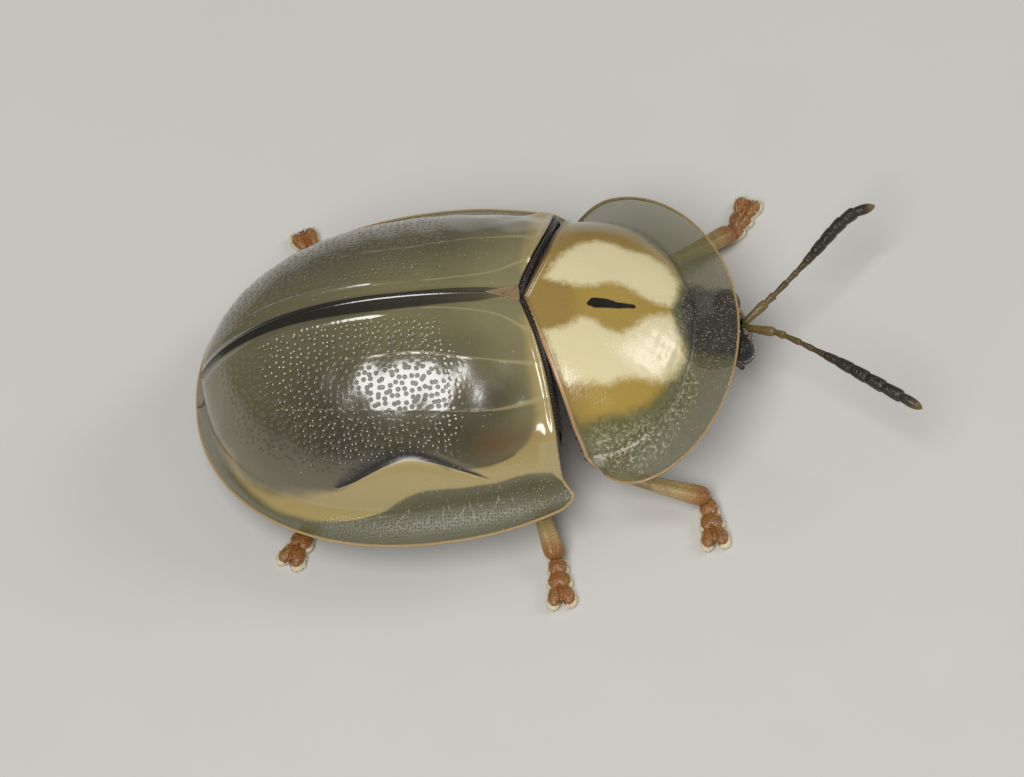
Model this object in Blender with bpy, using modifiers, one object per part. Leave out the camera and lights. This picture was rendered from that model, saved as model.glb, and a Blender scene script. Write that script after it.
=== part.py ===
# A life-size tortoise beetle, standing on six feet with its antennae spread.
# It faces +X, its left side is at +Y, and it stands on z = 0.
# All shaping is done in millimetres, and each finished mesh is scaled to metres at the end.

import math

import bmesh
import bpy
from mathutils import Matrix, Vector

METRES_PER_MM = 0.001
BEETLE_COLLECTION = "tortoise_beetle"

# Driving sizes, in millimetres. x = 0 is the front end of the seam between the wing cases.
SHELL = 0.5                # thickness of the wing cases and of the neck shield
RIM_SHARE = 0.35           # share of that thickness left at the outer rim
GAP = 0.27                 # clearance between pieces that touch in the animal
BODY_CENTRE_X = 0.52       # middle of the whole length, which becomes the origin
BELLY = 1.22               # height of the underside of the body

# Wing cases (elytra)
ELYTRA_LENGTH = 6.1
ELYTRA_HALF_WIDTH = 3.63
ELYTRA_WIDEST_X = -1.7
SHOULDER = (0.81, 3.09)    # outer front corner of a wing case
SHOULDER_RISE = 0.4        # the rim is this much higher at the shoulder than at the tail
TAIL_RIM_HEIGHT = 1.0
DISC_INSET_SIDE = 0.6      # width of the flat clear margin beside the domed disc
DISC_INSET_TAIL = 0.22
DISC_SHOULDER = (0.48, 2.75)
DISC_LIFT = 0.3            # the disc's edge is this much above the rim
DOME_TOP = (-2.1, 3.85)    # x and height of the highest point of the seam
DOME_FRONT_HEIGHT = 3.6
OUTLINE_POWER = 2.25       # how square the outline is in front, and the fall of the tail
TAIL_POWER = 2.12          # how square the outline is behind
DOME_POWERS = (2.6, 0.75)  # how blunt the dome is across
BASE_X = -0.12             # front end of the seam
BASE_BOW = 0.15            # how far the front edge bulges forward of a straight line
SCUTELLUM_HALF_WIDTH = 0.15

# Neck shield (pronotum)
SHIELD_TURN = 2.0          # degrees to the left
SHIELD_PIVOT_X = 0.2
SHIELD_BACK_X = 0.2
SHIELD_WIDEST_X = 1.75
SHIELD_HALF_WIDTH = 3.13
SHIELD_REACH = 2.12        # from the widest place to the front rim
SHIELD_CORNER = (1.06, 2.71)
SHIELD_POWER = 1.9
SHIELD_DISC_CORNER = (0.99, 2.5)
SHIELD_DISC_WIDEST = (1.35, 2.48)
SHIELD_DISC_FRONT_X = 3.05
SHIELD_TOP = 3.45
SHIELD_CORNER_HEIGHT = 1.62
SHIELD_FRONT_HEIGHT = 2.2
SHIELD_DISC_LIFT = 0.22
SHIELD_DOME_POWERS = (3.2, 0.75)

# Head, eyes and antennae
HEAD_TURN = 9.0                    # degrees to the left of the neck shield
HEAD_PIVOT_X = 2.9
HEAD_CENTRE = (3.42, 1.18)         # x and height
HEAD_HALF_SIZES = (0.62, 0.62, 0.44)
EYE_CENTRE = (3.76, 0.52, 1.46)
EYE_HALF_SIZES = (0.25, 0.24, 0.26)
BROW = (3.86, 0.17, 1.48)           # the swelling that each antenna grows from

# Legs: where the hip, knee, ankle and toe of each leg are
LEGS = {
    "front_right": ((1.75, -0.8, 0.72), (1.35, -2.17, 0.82), (2.97, -2.56, 0.33), (3.08, -3.52, 0.12)),
    "middle_right": ((-0.3, -0.85, 0.72), (-0.1, -2.2, 0.84), (0.21, -3.5, 0.33), (0.26, -4.47, 0.12)),
    "hind_right": ((-1.5, -0.8, 0.72), (-2.95, -1.5, 0.86), (-4.12, -2.15, 0.34), (-4.67, -3.05, 0.12)),
    "front_left": ((1.75, 0.85, 0.72), (2.35, 2.2, 0.82), (3.75, 3.2, 0.33), (4.16, 4.1, 0.12)),
    "middle_left": ((-0.3, 0.85, 0.72), (-0.1, 2.15, 0.84), (0.1, 3.05, 0.33), (0.15, 4.0, 0.12)),
    "hind_left": ((-1.5, 0.8, 0.72), (-2.75, 1.95, 0.86), (-3.75, 3.35, 0.34), (-4.2, 4.4, 0.12)),
}


# Small sums used everywhere

def mix(a, b, share):
    return a + (b - a) * share


def rise(value, power):
    """A power that keeps the sign of its base."""
    return math.copysign(abs(value) ** power, value)


def turned(x, y):
    """A point of the neck shield, after its turn to the left."""
    angle = math.radians(SHIELD_TURN)
    dx = x - SHIELD_PIVOT_X
    return (SHIELD_PIVOT_X + dx * math.cos(angle) - y * math.sin(angle),
            dx * math.sin(angle) + y * math.cos(angle))


def head_point(x, y, z):
    """A point of the head, which is turned a little further than the neck shield."""
    angle = math.radians(HEAD_TURN)
    dx = x - HEAD_PIVOT_X
    return (*turned(HEAD_PIVOT_X + dx * math.cos(angle) - y * math.sin(angle),
                    dx * math.sin(angle) + y * math.cos(angle)), z)


def below(height, x, y, distance):
    """The greatest height at (x, y) that stays the distance away from the surface height(x, y)."""
    lowest = height(x, y) - distance
    for reach in (0.45, 0.75, 0.95):
        drop = distance * math.sqrt(1 - reach ** 2)
        for i in range(12):
            angle = math.pi / 6 * i
            lowest = min(lowest, height(x + distance * reach * math.cos(angle),
                                        y + distance * reach * math.sin(angle)) - drop)
    return lowest


# Scene and materials

def clear_scene():
    for obj in list(bpy.data.objects):
        bpy.data.objects.remove(obj)


def make_collection(name):
    collection = bpy.data.collections.new(name)
    bpy.context.scene.collection.children.link(collection)
    return collection


def make_material(name, colour, roughness, alpha=1.0):
    material = bpy.data.materials.new(name)
    material.use_nodes = True
    shader = material.node_tree.nodes["Principled BSDF"]
    shader.inputs["Base Color"].default_value = (*colour, 1.0)
    shader.inputs["Roughness"].default_value = roughness
    shader.inputs["Metallic"].default_value = 0.0
    shader.inputs["Alpha"].default_value = alpha
    return material


def make_object(name, bm):
    mesh = bpy.data.meshes.new(name)
    bmesh.ops.recalc_face_normals(bm, faces=bm.faces)
    bm.to_mesh(mesh)
    bm.free()
    obj = bpy.data.objects.new(name, mesh)
    beetle.objects.link(obj)
    return obj


# Rounded forms: a ball whose points are moved by a rule

def shaped_ball(name, rule, around=14, along=8):
    """rule takes a point of the unit ball, whose poles are on the x axis, and returns its place."""
    bm = bmesh.new()
    bmesh.ops.create_uvsphere(bm, u_segments=around, v_segments=along, radius=1.0,
                              matrix=Matrix.Rotation(math.radians(90), 4, "Y"))
    for vertex in bm.verts:
        vertex.co = rule(vertex.co.copy())
    return make_object(name, bm)


def egg(name, centre, half_sizes, around=12, along=7):
    def rule(point):
        return Vector(centre) + Vector(a * b for a, b in zip(point, half_sizes))
    return shaped_ball(name, rule, around, along)


def limb(name, start, end, radii, flatness=1.0, around=8, along=7, bluntness=4):
    """A tapering limb with rounded ends. radii are spread evenly from start to end.
    flatness is its height over its width."""
    start, end = Vector(start), Vector(end)
    axis = (end - start).normalized()
    side = axis.cross(Vector((0, 0, 1))).normalized()
    top = side.cross(axis)
    length = (end - start).length

    def rule(point):
        share = (point.x + 1) / 2
        place = share * (len(radii) - 1)
        first = min(int(place), len(radii) - 2)
        radius = mix(radii[first], radii[first + 1], place - first)
        rounding = math.sqrt(max(1 - abs(point.x) ** bluntness, 0))
        ring = math.hypot(point.y, point.z)
        if ring < 1e-6:
            return start + axis * (length * share)
        across, up = point.y / ring, point.z / ring
        return (start + axis * (length * share)
                + (side * across + top * (up * flatness)) * (radius * rounding))
    return shaped_ball(name, rule, around, along)


def largest_surface(bm):
    """Removes all but the largest connected surface."""
    bm.faces.ensure_lookup_table()
    left = set(bm.faces)
    groups = []
    while left:
        stack = [left.pop()]
        group = set(stack)
        while stack:
            for edge in stack.pop().edges:
                for face in edge.link_faces:
                    if face in left:
                        left.discard(face)
                        group.add(face)
                        stack.append(face)
        groups.append(group)
    largest = max(groups, key=lambda faces: sum(face.calc_area() for face in faces))
    loose = [face for face in bm.faces if face not in largest]
    bmesh.ops.delete(bm, geom=loose, context="FACES")
    bmesh.ops.delete(bm, geom=[v for v in bm.verts if not v.link_faces], context="VERTS")


def combined(base, others, operation):
    """Joins the other objects to base, or cuts them from it, and removes them."""
    helpers = bpy.data.collections.new("helpers")
    bpy.context.scene.collection.children.link(helpers)
    for obj in others:
        beetle.objects.unlink(obj)
        helpers.objects.link(obj)
    modifier = base.modifiers.new("combine", "BOOLEAN")
    modifier.operation = operation
    modifier.operand_type = "COLLECTION"
    modifier.collection = helpers
    modifier.solver = "EXACT"
    bpy.context.view_layer.update()
    graph = bpy.context.evaluated_depsgraph_get()
    result = bpy.data.meshes.new_from_object(base.evaluated_get(graph))
    base.modifiers.clear()
    bm = bmesh.new()
    bm.from_mesh(result)
    bmesh.ops.triangulate(bm, faces=bm.faces)
    largest_surface(bm)
    bm.to_mesh(base.data)
    bm.free()
    bpy.data.meshes.remove(result)
    for obj in others:
        bpy.data.objects.remove(obj)
    bpy.data.collections.remove(helpers)
    return base


def trimmed(obj, point, outward):
    """Cuts off what lies past a plane and closes the cut with a flat face."""
    bm = bmesh.new()
    bm.from_mesh(obj.data)
    geometry = bm.verts[:] + bm.edges[:] + bm.faces[:]
    bmesh.ops.bisect_plane(bm, geom=geometry, plane_co=point, plane_no=outward, clear_outer=True)
    edges = [edge for edge in bm.edges if edge.is_boundary]
    bmesh.ops.holes_fill(bm, edges=edges)
    bmesh.ops.recalc_face_normals(bm, faces=bm.faces)
    bm.to_mesh(obj.data)
    bm.free()
    return obj


# Shell plates: rows run from the spine of the plate, over the edge of its disc, to its rim

DISC_SHARES = (0, 0.15, 0.3, 0.44, 0.57, 0.69, 0.8, 0.89, 0.95, 1)
MARGIN_SHARES = (0.33, 0.67, 1)


def plate(name, rows, place, half):
    """rows hold (spine x, disc edge, rim). place(x, y, share) gives a point's place, where share is
    None on the disc and 0 to 1 across the margin. half is True for one side only."""
    bm = bmesh.new()
    grid = []
    sides = (1,) if half else (-1, 1)
    for spine_x, disc, rim in rows:
        line = []
        for side in sides:
            stations = [(mix(spine_x, disc[0], s), disc[1] * s, None) for s in DISC_SHARES]
            stations += [(mix(disc[0], rim[0], s), mix(disc[1], rim[1], s), s) for s in MARGIN_SHARES]
            places = [place(x, y * side, s) for x, y, s in stations]
            if side < 0:
                line += places[:0:-1]
            else:
                line += places
        grid.append([bm.verts.new(p) for p in line])
    for first, second in zip(grid, grid[1:]):
        for i in range(len(first) - 1):
            bm.faces.new((first[i], first[i + 1], second[i + 1], second[i]))
    bmesh.ops.remove_doubles(bm, verts=bm.verts, dist=1e-4)
    obj = make_object(name, bm)
    if sum(face.normal.z for face in obj.data.polygons) < 0:
        obj.data.flip_normals()
    return obj


def thickened(obj, rim_distance):
    """Gives a plate its wall, which thins to RIM_SHARE at the rim. rim_distance(point) is 0 on the
    rim and 1 where the wall is full."""
    group = obj.vertex_groups.new(name="wall")
    for vertex in obj.data.vertices:
        group.add([vertex.index], rim_distance(vertex.co), "REPLACE")
    wall = obj.modifiers.new("wall", "SOLIDIFY")
    wall.thickness = SHELL
    wall.offset = -1
    wall.vertex_group = "wall"
    wall.thickness_vertex_group = RIM_SHARE
    bpy.context.view_layer.update()
    graph = bpy.context.evaluated_depsgraph_get()
    result = bpy.data.meshes.new_from_object(obj.evaluated_get(graph))
    obj.modifiers.clear()
    obj.vertex_groups.clear()
    obj.data = result
    return obj


# Wing cases

def seam_height(x):
    """Height of the seam between the wing cases."""
    top_x, top = DOME_TOP
    if x > top_x:
        return top - (top - DOME_FRONT_HEIGHT) * ((x - top_x) / top_x) ** 2
    share = min((top_x - x) / (ELYTRA_LENGTH + top_x), 1)
    return TAIL_RIM_HEIGHT + (top - TAIL_RIM_HEIGHT) * math.sqrt(1 - share ** OUTLINE_POWER)


def rim_height(x):
    return TAIL_RIM_HEIGHT + SHOULDER_RISE * (x + ELYTRA_LENGTH) / (SHOULDER[0] + ELYTRA_LENGTH)


def elytron_outline(x, shoulder, half_width, tail_x):
    """Half width of a wing case, or of its disc, at x."""
    if x > ELYTRA_WIDEST_X:
        share = min((x - ELYTRA_WIDEST_X) / (shoulder[0] - ELYTRA_WIDEST_X), 1)
        return half_width - (half_width - shoulder[1]) * share ** OUTLINE_POWER
    share = min((ELYTRA_WIDEST_X - x) / (ELYTRA_WIDEST_X - tail_x), 1)
    return half_width * (1 - share ** TAIL_POWER) ** (1 / TAIL_POWER)


def disc_half_width(x):
    return elytron_outline(x, DISC_SHOULDER, ELYTRA_HALF_WIDTH - DISC_INSET_SIDE,
                           DISC_INSET_TAIL - ELYTRA_LENGTH)


def elytron_height(x, y):
    """Height of the domed disc."""
    edge = rim_height(x) + DISC_LIFT
    share = min(abs(y) / max(disc_half_width(x), 1e-6), 1)
    inner, outer = DOME_POWERS
    return edge + max(seam_height(x) - edge, 0) * (1 - share ** inner) ** outer


def elytron_rows():
    front_rows, tail_rows = 7, 15
    disc_half = ELYTRA_HALF_WIDTH - DISC_INSET_SIDE
    tail_x = -ELYTRA_LENGTH
    disc_tail_x = tail_x + DISC_INSET_TAIL
    rows = []
    for i in range(front_rows):
        share = i / front_rows
        rim_x = mix(SHOULDER[0], ELYTRA_WIDEST_X, share)
        disc_x = mix(DISC_SHOULDER[0], ELYTRA_WIDEST_X, share)
        rows.append((mix(BASE_X, ELYTRA_WIDEST_X, share),
                     (disc_x, elytron_outline(disc_x, DISC_SHOULDER, disc_half, disc_tail_x)),
                     (rim_x, elytron_outline(rim_x, SHOULDER, ELYTRA_HALF_WIDTH, tail_x))))
    for i in range(tail_rows + 1):
        angle = math.pi / 2 * i / tail_rows
        along = math.sin(angle) ** (2 / TAIL_POWER)
        across = max(math.cos(angle), 0) ** (2 / TAIL_POWER)
        disc_x = mix(ELYTRA_WIDEST_X, disc_tail_x, along)
        rows.append((disc_x, (disc_x, disc_half * across),
                     (mix(ELYTRA_WIDEST_X, tail_x, along), ELYTRA_HALF_WIDTH * across)))
    return rows


def make_elytron(name, side):
    def place(x, y, share):
        notch = 1.6 * SCUTELLUM_HALF_WIDTH * max(0, min(1 + (x - BASE_X) / 0.45, 1))
        inner = GAP / 2 + notch
        y = inner + y * (1 - inner / ELYTRA_HALF_WIDTH)
        if share is None:
            near_base = max(0, 1 + (x - DISC_SHOULDER[0]) / 1.6)
            bow = BASE_BOW * math.sin(math.pi * min(y / DISC_SHOULDER[1], 1)) * near_base
            return (x + bow, y * side, elytron_height(x, y))
        rim = rim_height(x)
        return (x, y * side, rim + DISC_LIFT * (1 - share) ** 1.4)

    obj = plate(name, elytron_rows(), place, half=True)
    outer = ELYTRA_HALF_WIDTH - DISC_INSET_SIDE

    def rim_distance(point):
        room = elytron_outline(point.x, SHOULDER, ELYTRA_HALF_WIDTH, -ELYTRA_LENGTH) - abs(point.y)
        return max(0, min(room / (ELYTRA_HALF_WIDTH - outer), (point.x + ELYTRA_LENGTH) / 0.4, 1))

    thickened(obj, rim_distance)
    for vertex in obj.data.vertices:
        vertex.co.y = side * max(vertex.co.y * side, GAP / 2)
    return obj


# Neck shield

def shield_rim_height(x):
    share = (x - SHIELD_CORNER[0]) / (SHIELD_WIDEST_X + SHIELD_REACH - SHIELD_CORNER[0])
    return mix(SHIELD_CORNER_HEIGHT, SHIELD_FRONT_HEIGHT, share)


def shield_mid_height(x):
    return SHIELD_TOP - 0.155 * max(x, 0) ** 1.7


def shield_disc_half_width(x):
    widest_x, widest = SHIELD_DISC_WIDEST
    if x < widest_x:
        share = min((widest_x - x) / (widest_x - SHIELD_DISC_CORNER[0]), 1)
        return widest - (widest - SHIELD_DISC_CORNER[1]) * share ** 2
    share = min((x - widest_x) / (SHIELD_DISC_FRONT_X - widest_x), 1)
    return widest * (1 - share ** SHIELD_POWER) ** (1 / SHIELD_POWER)


def shield_height(x, y):
    edge = shield_rim_height(x) + SHIELD_DISC_LIFT
    share = min(abs(y) / max(shield_disc_half_width(x), 1e-6), 1)
    inner, outer = SHIELD_DOME_POWERS
    return edge + max(shield_mid_height(x) - edge, 0) * (1 - share ** inner) ** outer


def shield_rows():
    back_rows, front_rows = 4, 11
    rows = []
    for i in range(back_rows):
        share = i / back_rows
        across = (1 - share) ** 2
        rim_x = mix(SHIELD_CORNER[0], SHIELD_WIDEST_X, share)
        disc_x = mix(SHIELD_DISC_CORNER[0], SHIELD_DISC_WIDEST[0], share)
        rows.append((mix(SHIELD_BACK_X, 1.0, share),
                     (disc_x, mix(SHIELD_DISC_WIDEST[1], SHIELD_DISC_CORNER[1], across)),
                     (rim_x, mix(SHIELD_HALF_WIDTH, SHIELD_CORNER[1], across))))
    for i in range(front_rows + 1):
        angle = math.pi / 2 * i / front_rows
        along = math.sin(angle) ** (2 / SHIELD_POWER)
        across = max(math.cos(angle), 0) ** (2 / SHIELD_POWER)
        rows.append((mix(1.0, SHIELD_DISC_FRONT_X, along),
                     (mix(SHIELD_DISC_WIDEST[0], SHIELD_DISC_FRONT_X, along), SHIELD_DISC_WIDEST[1] * across),
                     (SHIELD_WIDEST_X + SHIELD_REACH * along, SHIELD_HALF_WIDTH * across)))
    return rows


def make_shield():
    def place(x, y, share):
        if share is None:
            return (*turned(x, y), shield_height(x, y))
        rim = shield_rim_height(x)
        return (*turned(x, y), rim + SHIELD_DISC_LIFT * (1 - share) ** 1.4)

    obj = plate("pronotum", shield_rows(), place, half=False)
    front_x = SHIELD_WIDEST_X + SHIELD_REACH

    def rim_distance(point):
        reach = math.hypot((point.x - SHIELD_WIDEST_X) / (front_x - SHIELD_WIDEST_X),
                           (point.y - 0.06) / SHIELD_HALF_WIDTH)
        if point.x < SHIELD_WIDEST_X:
            reach = abs(point.y) / SHIELD_HALF_WIDTH
        return max(0, min((1 - reach) / 0.5, 1))
    return thickened(obj, rim_distance)


# Body under the plates

def trunk(name, back_x, front_x, half_width, top, bottom, ceiling, around=22, along=16):
    """A blunt body whose half width, top and bottom are functions of x. It stays under
    ceiling(x, y), the space that the plates above it leave."""
    def rule(point):
        share = (point.x + 1) / 2
        x = mix(back_x, front_x, share)
        rounding = (1 - abs(point.x) ** 5) ** 0.5 if abs(point.x) < 1 else 0
        ring = max(math.hypot(point.y, point.z), 1e-6)
        across = rise(point.y / ring, 0.85)
        up = rise(point.z / ring, 0.85)
        middle = (top(x) * 0.4 + bottom(x) * 0.6)
        tall = top(x) - middle if up > 0 else middle - bottom(x)
        y = half_width(x) * across * rounding
        lift = tall * up * rounding
        room = ceiling(x, y) - middle
        return Vector((x, y, middle + min(lift, max(room, 0.12 * lift))))
    return shaped_ball(name, rule, around, along)


def make_trunk_pieces():
    clear = SHELL + GAP + 0.06
    side_room = 0.85           # from the edge of the wing cases' domed part to the body's side
    sternite = 0.66            # length of one belly plate
    step = 0.12                # each belly plate stands this much below the one behind it
    belly_start = -1.9

    def half_width(x):
        return max(disc_half_width(x) - side_room, 0.4 * disc_half_width(x))

    def top(x):
        return seam_height(x) - clear

    def bottom(x):
        if x > belly_start:
            return BELLY
        plates = (belly_start - x) / sternite
        return BELLY + step * (plates % 1) ** 2 + 0.04 * math.floor(plates)

    def ceiling(x, y):
        return below(elytron_height, x, y, clear)

    abdomen = trunk("abdomen", -4.95, 0.3, half_width, top, bottom, ceiling, along=34)
    thorax = abdomen.copy()
    thorax.data = abdomen.data.copy()
    thorax.name = "thorax"
    beetle.objects.link(thorax)
    trimmed(abdomen, (belly_start - GAP / 2, 0, 0), (1, 0, 0))
    trimmed(thorax, (belly_start + GAP / 2, 0, 0), (-1, 0, 0))
    return abdomen, thorax


def make_prothorax():
    def half_width(x):
        return 1.65 - 0.1 * (x - 0.6) ** 2

    clear = SHELL + GAP

    def top(x):
        return shield_mid_height(x) - clear

    def ceiling(x, y):
        return below(shield_height, x, y, clear)

    def bottom(x):
        return BELLY + 0.02

    return trunk("prothorax", 0.57, 2.62, half_width, top, bottom, ceiling, around=20, along=10)


def with_scutellum(thorax):
    """Adds the small triangle between the wing cases, which grows from the thorax."""
    root = 2.3
    height = DOME_FRONT_HEIGHT - root
    wide = SCUTELLUM_HALF_WIDTH
    bm = bmesh.new()
    bmesh.ops.create_cone(bm, cap_ends=True, segments=6, radius1=wide, radius2=wide, depth=height,
                          matrix=Matrix.Translation((BASE_X - wide, 0, root + height / 2)))
    return combined(thorax, [make_object("scutellum", bm)], "UNION")


# Head, eyes and antennae

def make_head():
    x, z = HEAD_CENTRE
    skull = egg("head", head_point(x, 0, z), HEAD_HALF_SIZES, around=16, along=9)
    face = limb("face", head_point(x + 0.2, 0, z), head_point(4.08, 0, z + 0.05),
                (0.42, 0.4, 0.3), around=10, along=6)
    jaws = [limb("jaw", head_point(3.85, 0.16 * side, 1.05), head_point(4.02, 0.1 * side, 0.66),
                 (0.2, 0.19, 0.14), around=8, along=5) for side in (-1, 1)]
    palps = [limb("palp", head_point(3.7, 0.36 * side, 0.98), head_point(3.98, 0.46 * side, 0.66),
                  (0.17, 0.17, 0.14), around=8, along=5) for side in (-1, 1)]
    brow_x, brow_y, brow_z = BROW
    brows = [egg("brow", head_point(brow_x, brow_y * side, brow_z), (0.17, 0.19, 0.16), around=8, along=5)
             for side in (-1, 1)]
    return combined(skull, [face, *jaws, *palps, *brows], "UNION")


def eye_place(side):
    x, y, z = EYE_CENTRE
    return head_point(x, y * side, z)


def make_eye(name, side):
    return egg(name, eye_place(side), EYE_HALF_SIZES, around=14, along=8)


def with_sockets(head):
    """Hollows the head where the eyes sit, with the gap all round them."""
    sockets = [egg("socket", eye_place(side), [size + GAP * 0.8 for size in EYE_HALF_SIZES])
               for side in (-1, 1)]
    return combined(head, sockets, "DIFFERENCE")


def curve_point(points, share):
    """A point on the quadratic curve through a start, a bend and an end."""
    start, bend, end = (Vector(p) for p in points)
    return start * (1 - share) ** 2 + bend * (2 * share * (1 - share)) + end * share ** 2


def make_antenna(name, route):
    """Eleven beads along a curve: a long first joint, thin joints, then six thicker ones."""
    lengths = (1.5, 0.8, 1.1, 1.0, 1.0, 1.0, 1.1, 1.1, 1.1, 1.1, 1.6)
    widths = (0.24, 0.2, 0.2, 0.2, 0.22, 0.25, 0.26, 0.27, 0.27, 0.26, 0.22)
    total = sum(lengths)
    beads = []
    passed = 0
    for i in range(len(lengths)):
        start = curve_point(route, max(passed - 0.12, 0) / total)
        passed += lengths[i]
        end = curve_point(route, min(passed + 0.12, total) / total)
        width = widths[i]
        radii = (width * 0.8, width, width * 0.95)
        beads.append(limb(name if i == 0 else "bead", start, end, radii, around=8, along=5))
    return combined(beads[0], beads[1:], "UNION")


# Legs

def make_leg(name, hip, knee, ankle, toe):
    hip, knee, ankle, toe = (Vector(p) for p in (hip, knee, ankle, toe))
    coxa = egg(name, hip, (0.4, 0.34, 0.27), around=10, along=6)
    femur = limb("femur", hip, knee + (knee - hip).normalized() * 0.12, (0.24, 0.31, 0.28, 0.21),
                 flatness=0.8)
    tibia = limb("tibia", knee - (ankle - knee).normalized() * 0.14, ankle, (0.2, 0.19, 0.22, 0.25),
                 flatness=0.85)
    pieces = [femur, tibia]
    along = (toe - ankle) * Vector((1, 1, 0))
    length = along.length
    along.normalize()
    across = Vector((-along.y, along.x, 0))
    floor = Vector((ankle.x, ankle.y, 0))
    for share, width, long, high in ((0.1, 0.25, 0.3, 0.26), (0.38, 0.27, 0.27, 0.2)):
        centre = floor + along * (length * share) + Vector((0, 0, high * 0.72))
        pieces.append(limb("lobe", centre - along * long, centre + along * long,
                           (width * 0.85, width, width), flatness=high / width, around=8, along=5))
    for side in (-1, 1):
        centre = floor + along * (length * 0.66) + across * (0.15 * side) + Vector((0, 0, 0.13))
        end = centre + along * 0.26 + across * (0.05 * side)
        pieces.append(limb("lobe", centre - along * 0.24, end, (0.17, 0.2, 0.17), flatness=0.85,
                           around=8, along=5))
        root = floor + along * (length * 0.92) + across * (0.05 * side) + Vector((0, 0, 0.17))
        tip = floor + along * (length + 0.16) + across * (0.15 * side) + Vector((0, 0, 0.06))
        pieces.append(limb("claw", root, tip, (0.1, 0.08, 0.04), around=6, along=5, bluntness=2))
    last = floor + along * (length * 0.45) + Vector((0, 0, 0.26))
    pieces.append(limb("claw_joint", last, floor + along * (length * 1.0) + Vector((0, 0, 0.17)),
                       (0.12, 0.13, 0.14), around=6, along=5))
    leg = combined(coxa, pieces, "UNION")
    return trimmed(leg, (0, 0, 0), (0, 0, -1))


def finished(obj, material):
    """Moves the origin, scales to metres and gives the finish."""
    obj.data.transform(Matrix.Scale(METRES_PER_MM, 4) @ Matrix.Translation((-BODY_CENTRE_X, 0, 0)))
    obj.data.materials.clear()
    obj.data.materials.append(material)
    obj.data.shade_smooth()
    obj.data.set_sharp_from_angle(angle=math.radians(40))


clear_scene()
beetle = make_collection(BEETLE_COLLECTION)

clear_shell = make_material("clear_shell", (0.42, 0.41, 0.3), 0.25)
shield_shell = make_material("shield_shell", (0.85, 0.75, 0.45), 0.25)
dark_body = make_material("dark_body", (0.09, 0.06, 0.04), 0.4)
head_horn = make_material("head_horn", (0.06, 0.04, 0.03), 0.4)
eye_black = make_material("eye_black", (0.01, 0.01, 0.015), 0.15)
antenna_horn = make_material("antenna_horn", (0.1, 0.07, 0.06), 0.5)
leg_horn = make_material("leg_horn", (0.5, 0.22, 0.1), 0.4)

for side_name, side in (("left", 1), ("right", -1)):
    finished(make_elytron("elytron_" + side_name, side), clear_shell)
    finished(make_eye("eye_" + side_name, side), eye_black)
finished(make_shield(), shield_shell)

abdomen, thorax = make_trunk_pieces()
finished(abdomen, dark_body)
finished(with_scutellum(thorax), dark_body)
finished(make_prothorax(), dark_body)
finished(with_sockets(make_head()), head_horn)

antenna_routes = {
    "antenna_right": ((4.28, -0.06, 1.64), (5.45, -0.75, 2.25), (7.0, -2.12, 1.87)),
    "antenna_left": ((4.2, 0.62, 1.62), (5.2, 1.5, 1.95), (6.3, 2.36, 1.87)),
}
for antenna_name, route in antenna_routes.items():
    finished(make_antenna(antenna_name, route), antenna_horn)

for leg_name, joints in LEGS.items():
    finished(make_leg("leg_" + leg_name, *joints), leg_horn)
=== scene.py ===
# A life-size tortoise beetle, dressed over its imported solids.
# Shapes are worked out in millimetres with x = 0 at the front of the seam between the wing cases,
# and each finished mesh is moved and scaled to the solids' own frame.

import math
import random

import bpy
import numpy as np
from mathutils import Matrix, Vector


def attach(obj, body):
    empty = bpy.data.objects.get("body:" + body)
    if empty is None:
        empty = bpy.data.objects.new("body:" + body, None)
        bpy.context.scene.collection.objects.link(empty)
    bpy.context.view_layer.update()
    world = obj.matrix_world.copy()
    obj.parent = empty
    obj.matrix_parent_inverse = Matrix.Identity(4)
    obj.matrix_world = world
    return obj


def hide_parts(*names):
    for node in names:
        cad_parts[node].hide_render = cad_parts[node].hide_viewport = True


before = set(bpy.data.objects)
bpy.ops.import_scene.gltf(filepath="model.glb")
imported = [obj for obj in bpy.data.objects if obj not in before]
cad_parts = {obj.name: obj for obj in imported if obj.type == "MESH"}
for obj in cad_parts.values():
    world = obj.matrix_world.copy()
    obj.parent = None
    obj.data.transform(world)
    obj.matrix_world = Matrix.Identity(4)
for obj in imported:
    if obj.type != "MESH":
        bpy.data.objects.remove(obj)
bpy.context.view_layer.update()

mm = 0.001
bodyCentreX = 0.52      # the solids' origin, in the shapes' own millimetres
random.seed(11)
chance = np.random.default_rng(11)


# Working in Blender as by hand

def chooseOnly(obj):
    if bpy.context.object and bpy.context.object.mode != "OBJECT":
        bpy.ops.object.mode_set(mode="OBJECT")
    bpy.ops.object.select_all(action="DESELECT")
    obj.select_set(True)
    bpy.context.view_layer.objects.active = obj


def editAll(obj):
    chooseOnly(obj)
    bpy.ops.object.mode_set(mode="EDIT")
    bpy.ops.mesh.select_all(action="SELECT")


def leaveEdit():
    bpy.ops.object.mode_set(mode="OBJECT")


def startFrom(operator, **settings):
    # a primitive to start a piece from, alone in the selection
    bpy.ops.object.select_all(action="DESELECT")
    operator(**settings)
    return bpy.context.object


def addModifier(obj, name, kind, **settings):
    modifier = obj.modifiers.new(name, kind)
    for key, value in settings.items():
        setattr(modifier, key, value)


def meshPiece(name, vertices, faces):
    mesh = bpy.data.meshes.new(name)
    mesh.from_pydata(vertices, [], faces)
    obj = bpy.data.objects.new(name, mesh)
    bpy.context.scene.collection.objects.link(obj)
    return obj


def closeSeams(obj, distance=1e-4):
    editAll(obj)
    bpy.ops.mesh.remove_doubles(threshold=distance)
    bpy.ops.mesh.normals_make_consistent(inside=False)
    leaveEdit()


def applyAll(obj):
    chooseOnly(obj)
    for modifier in list(obj.modifiers):
        bpy.ops.object.modifier_apply(modifier=modifier.name)


def readPoints(obj):
    points = np.empty(len(obj.data.vertices) * 3)
    obj.data.vertices.foreach_get("co", points)
    return points.reshape(-1, 3)


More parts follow.
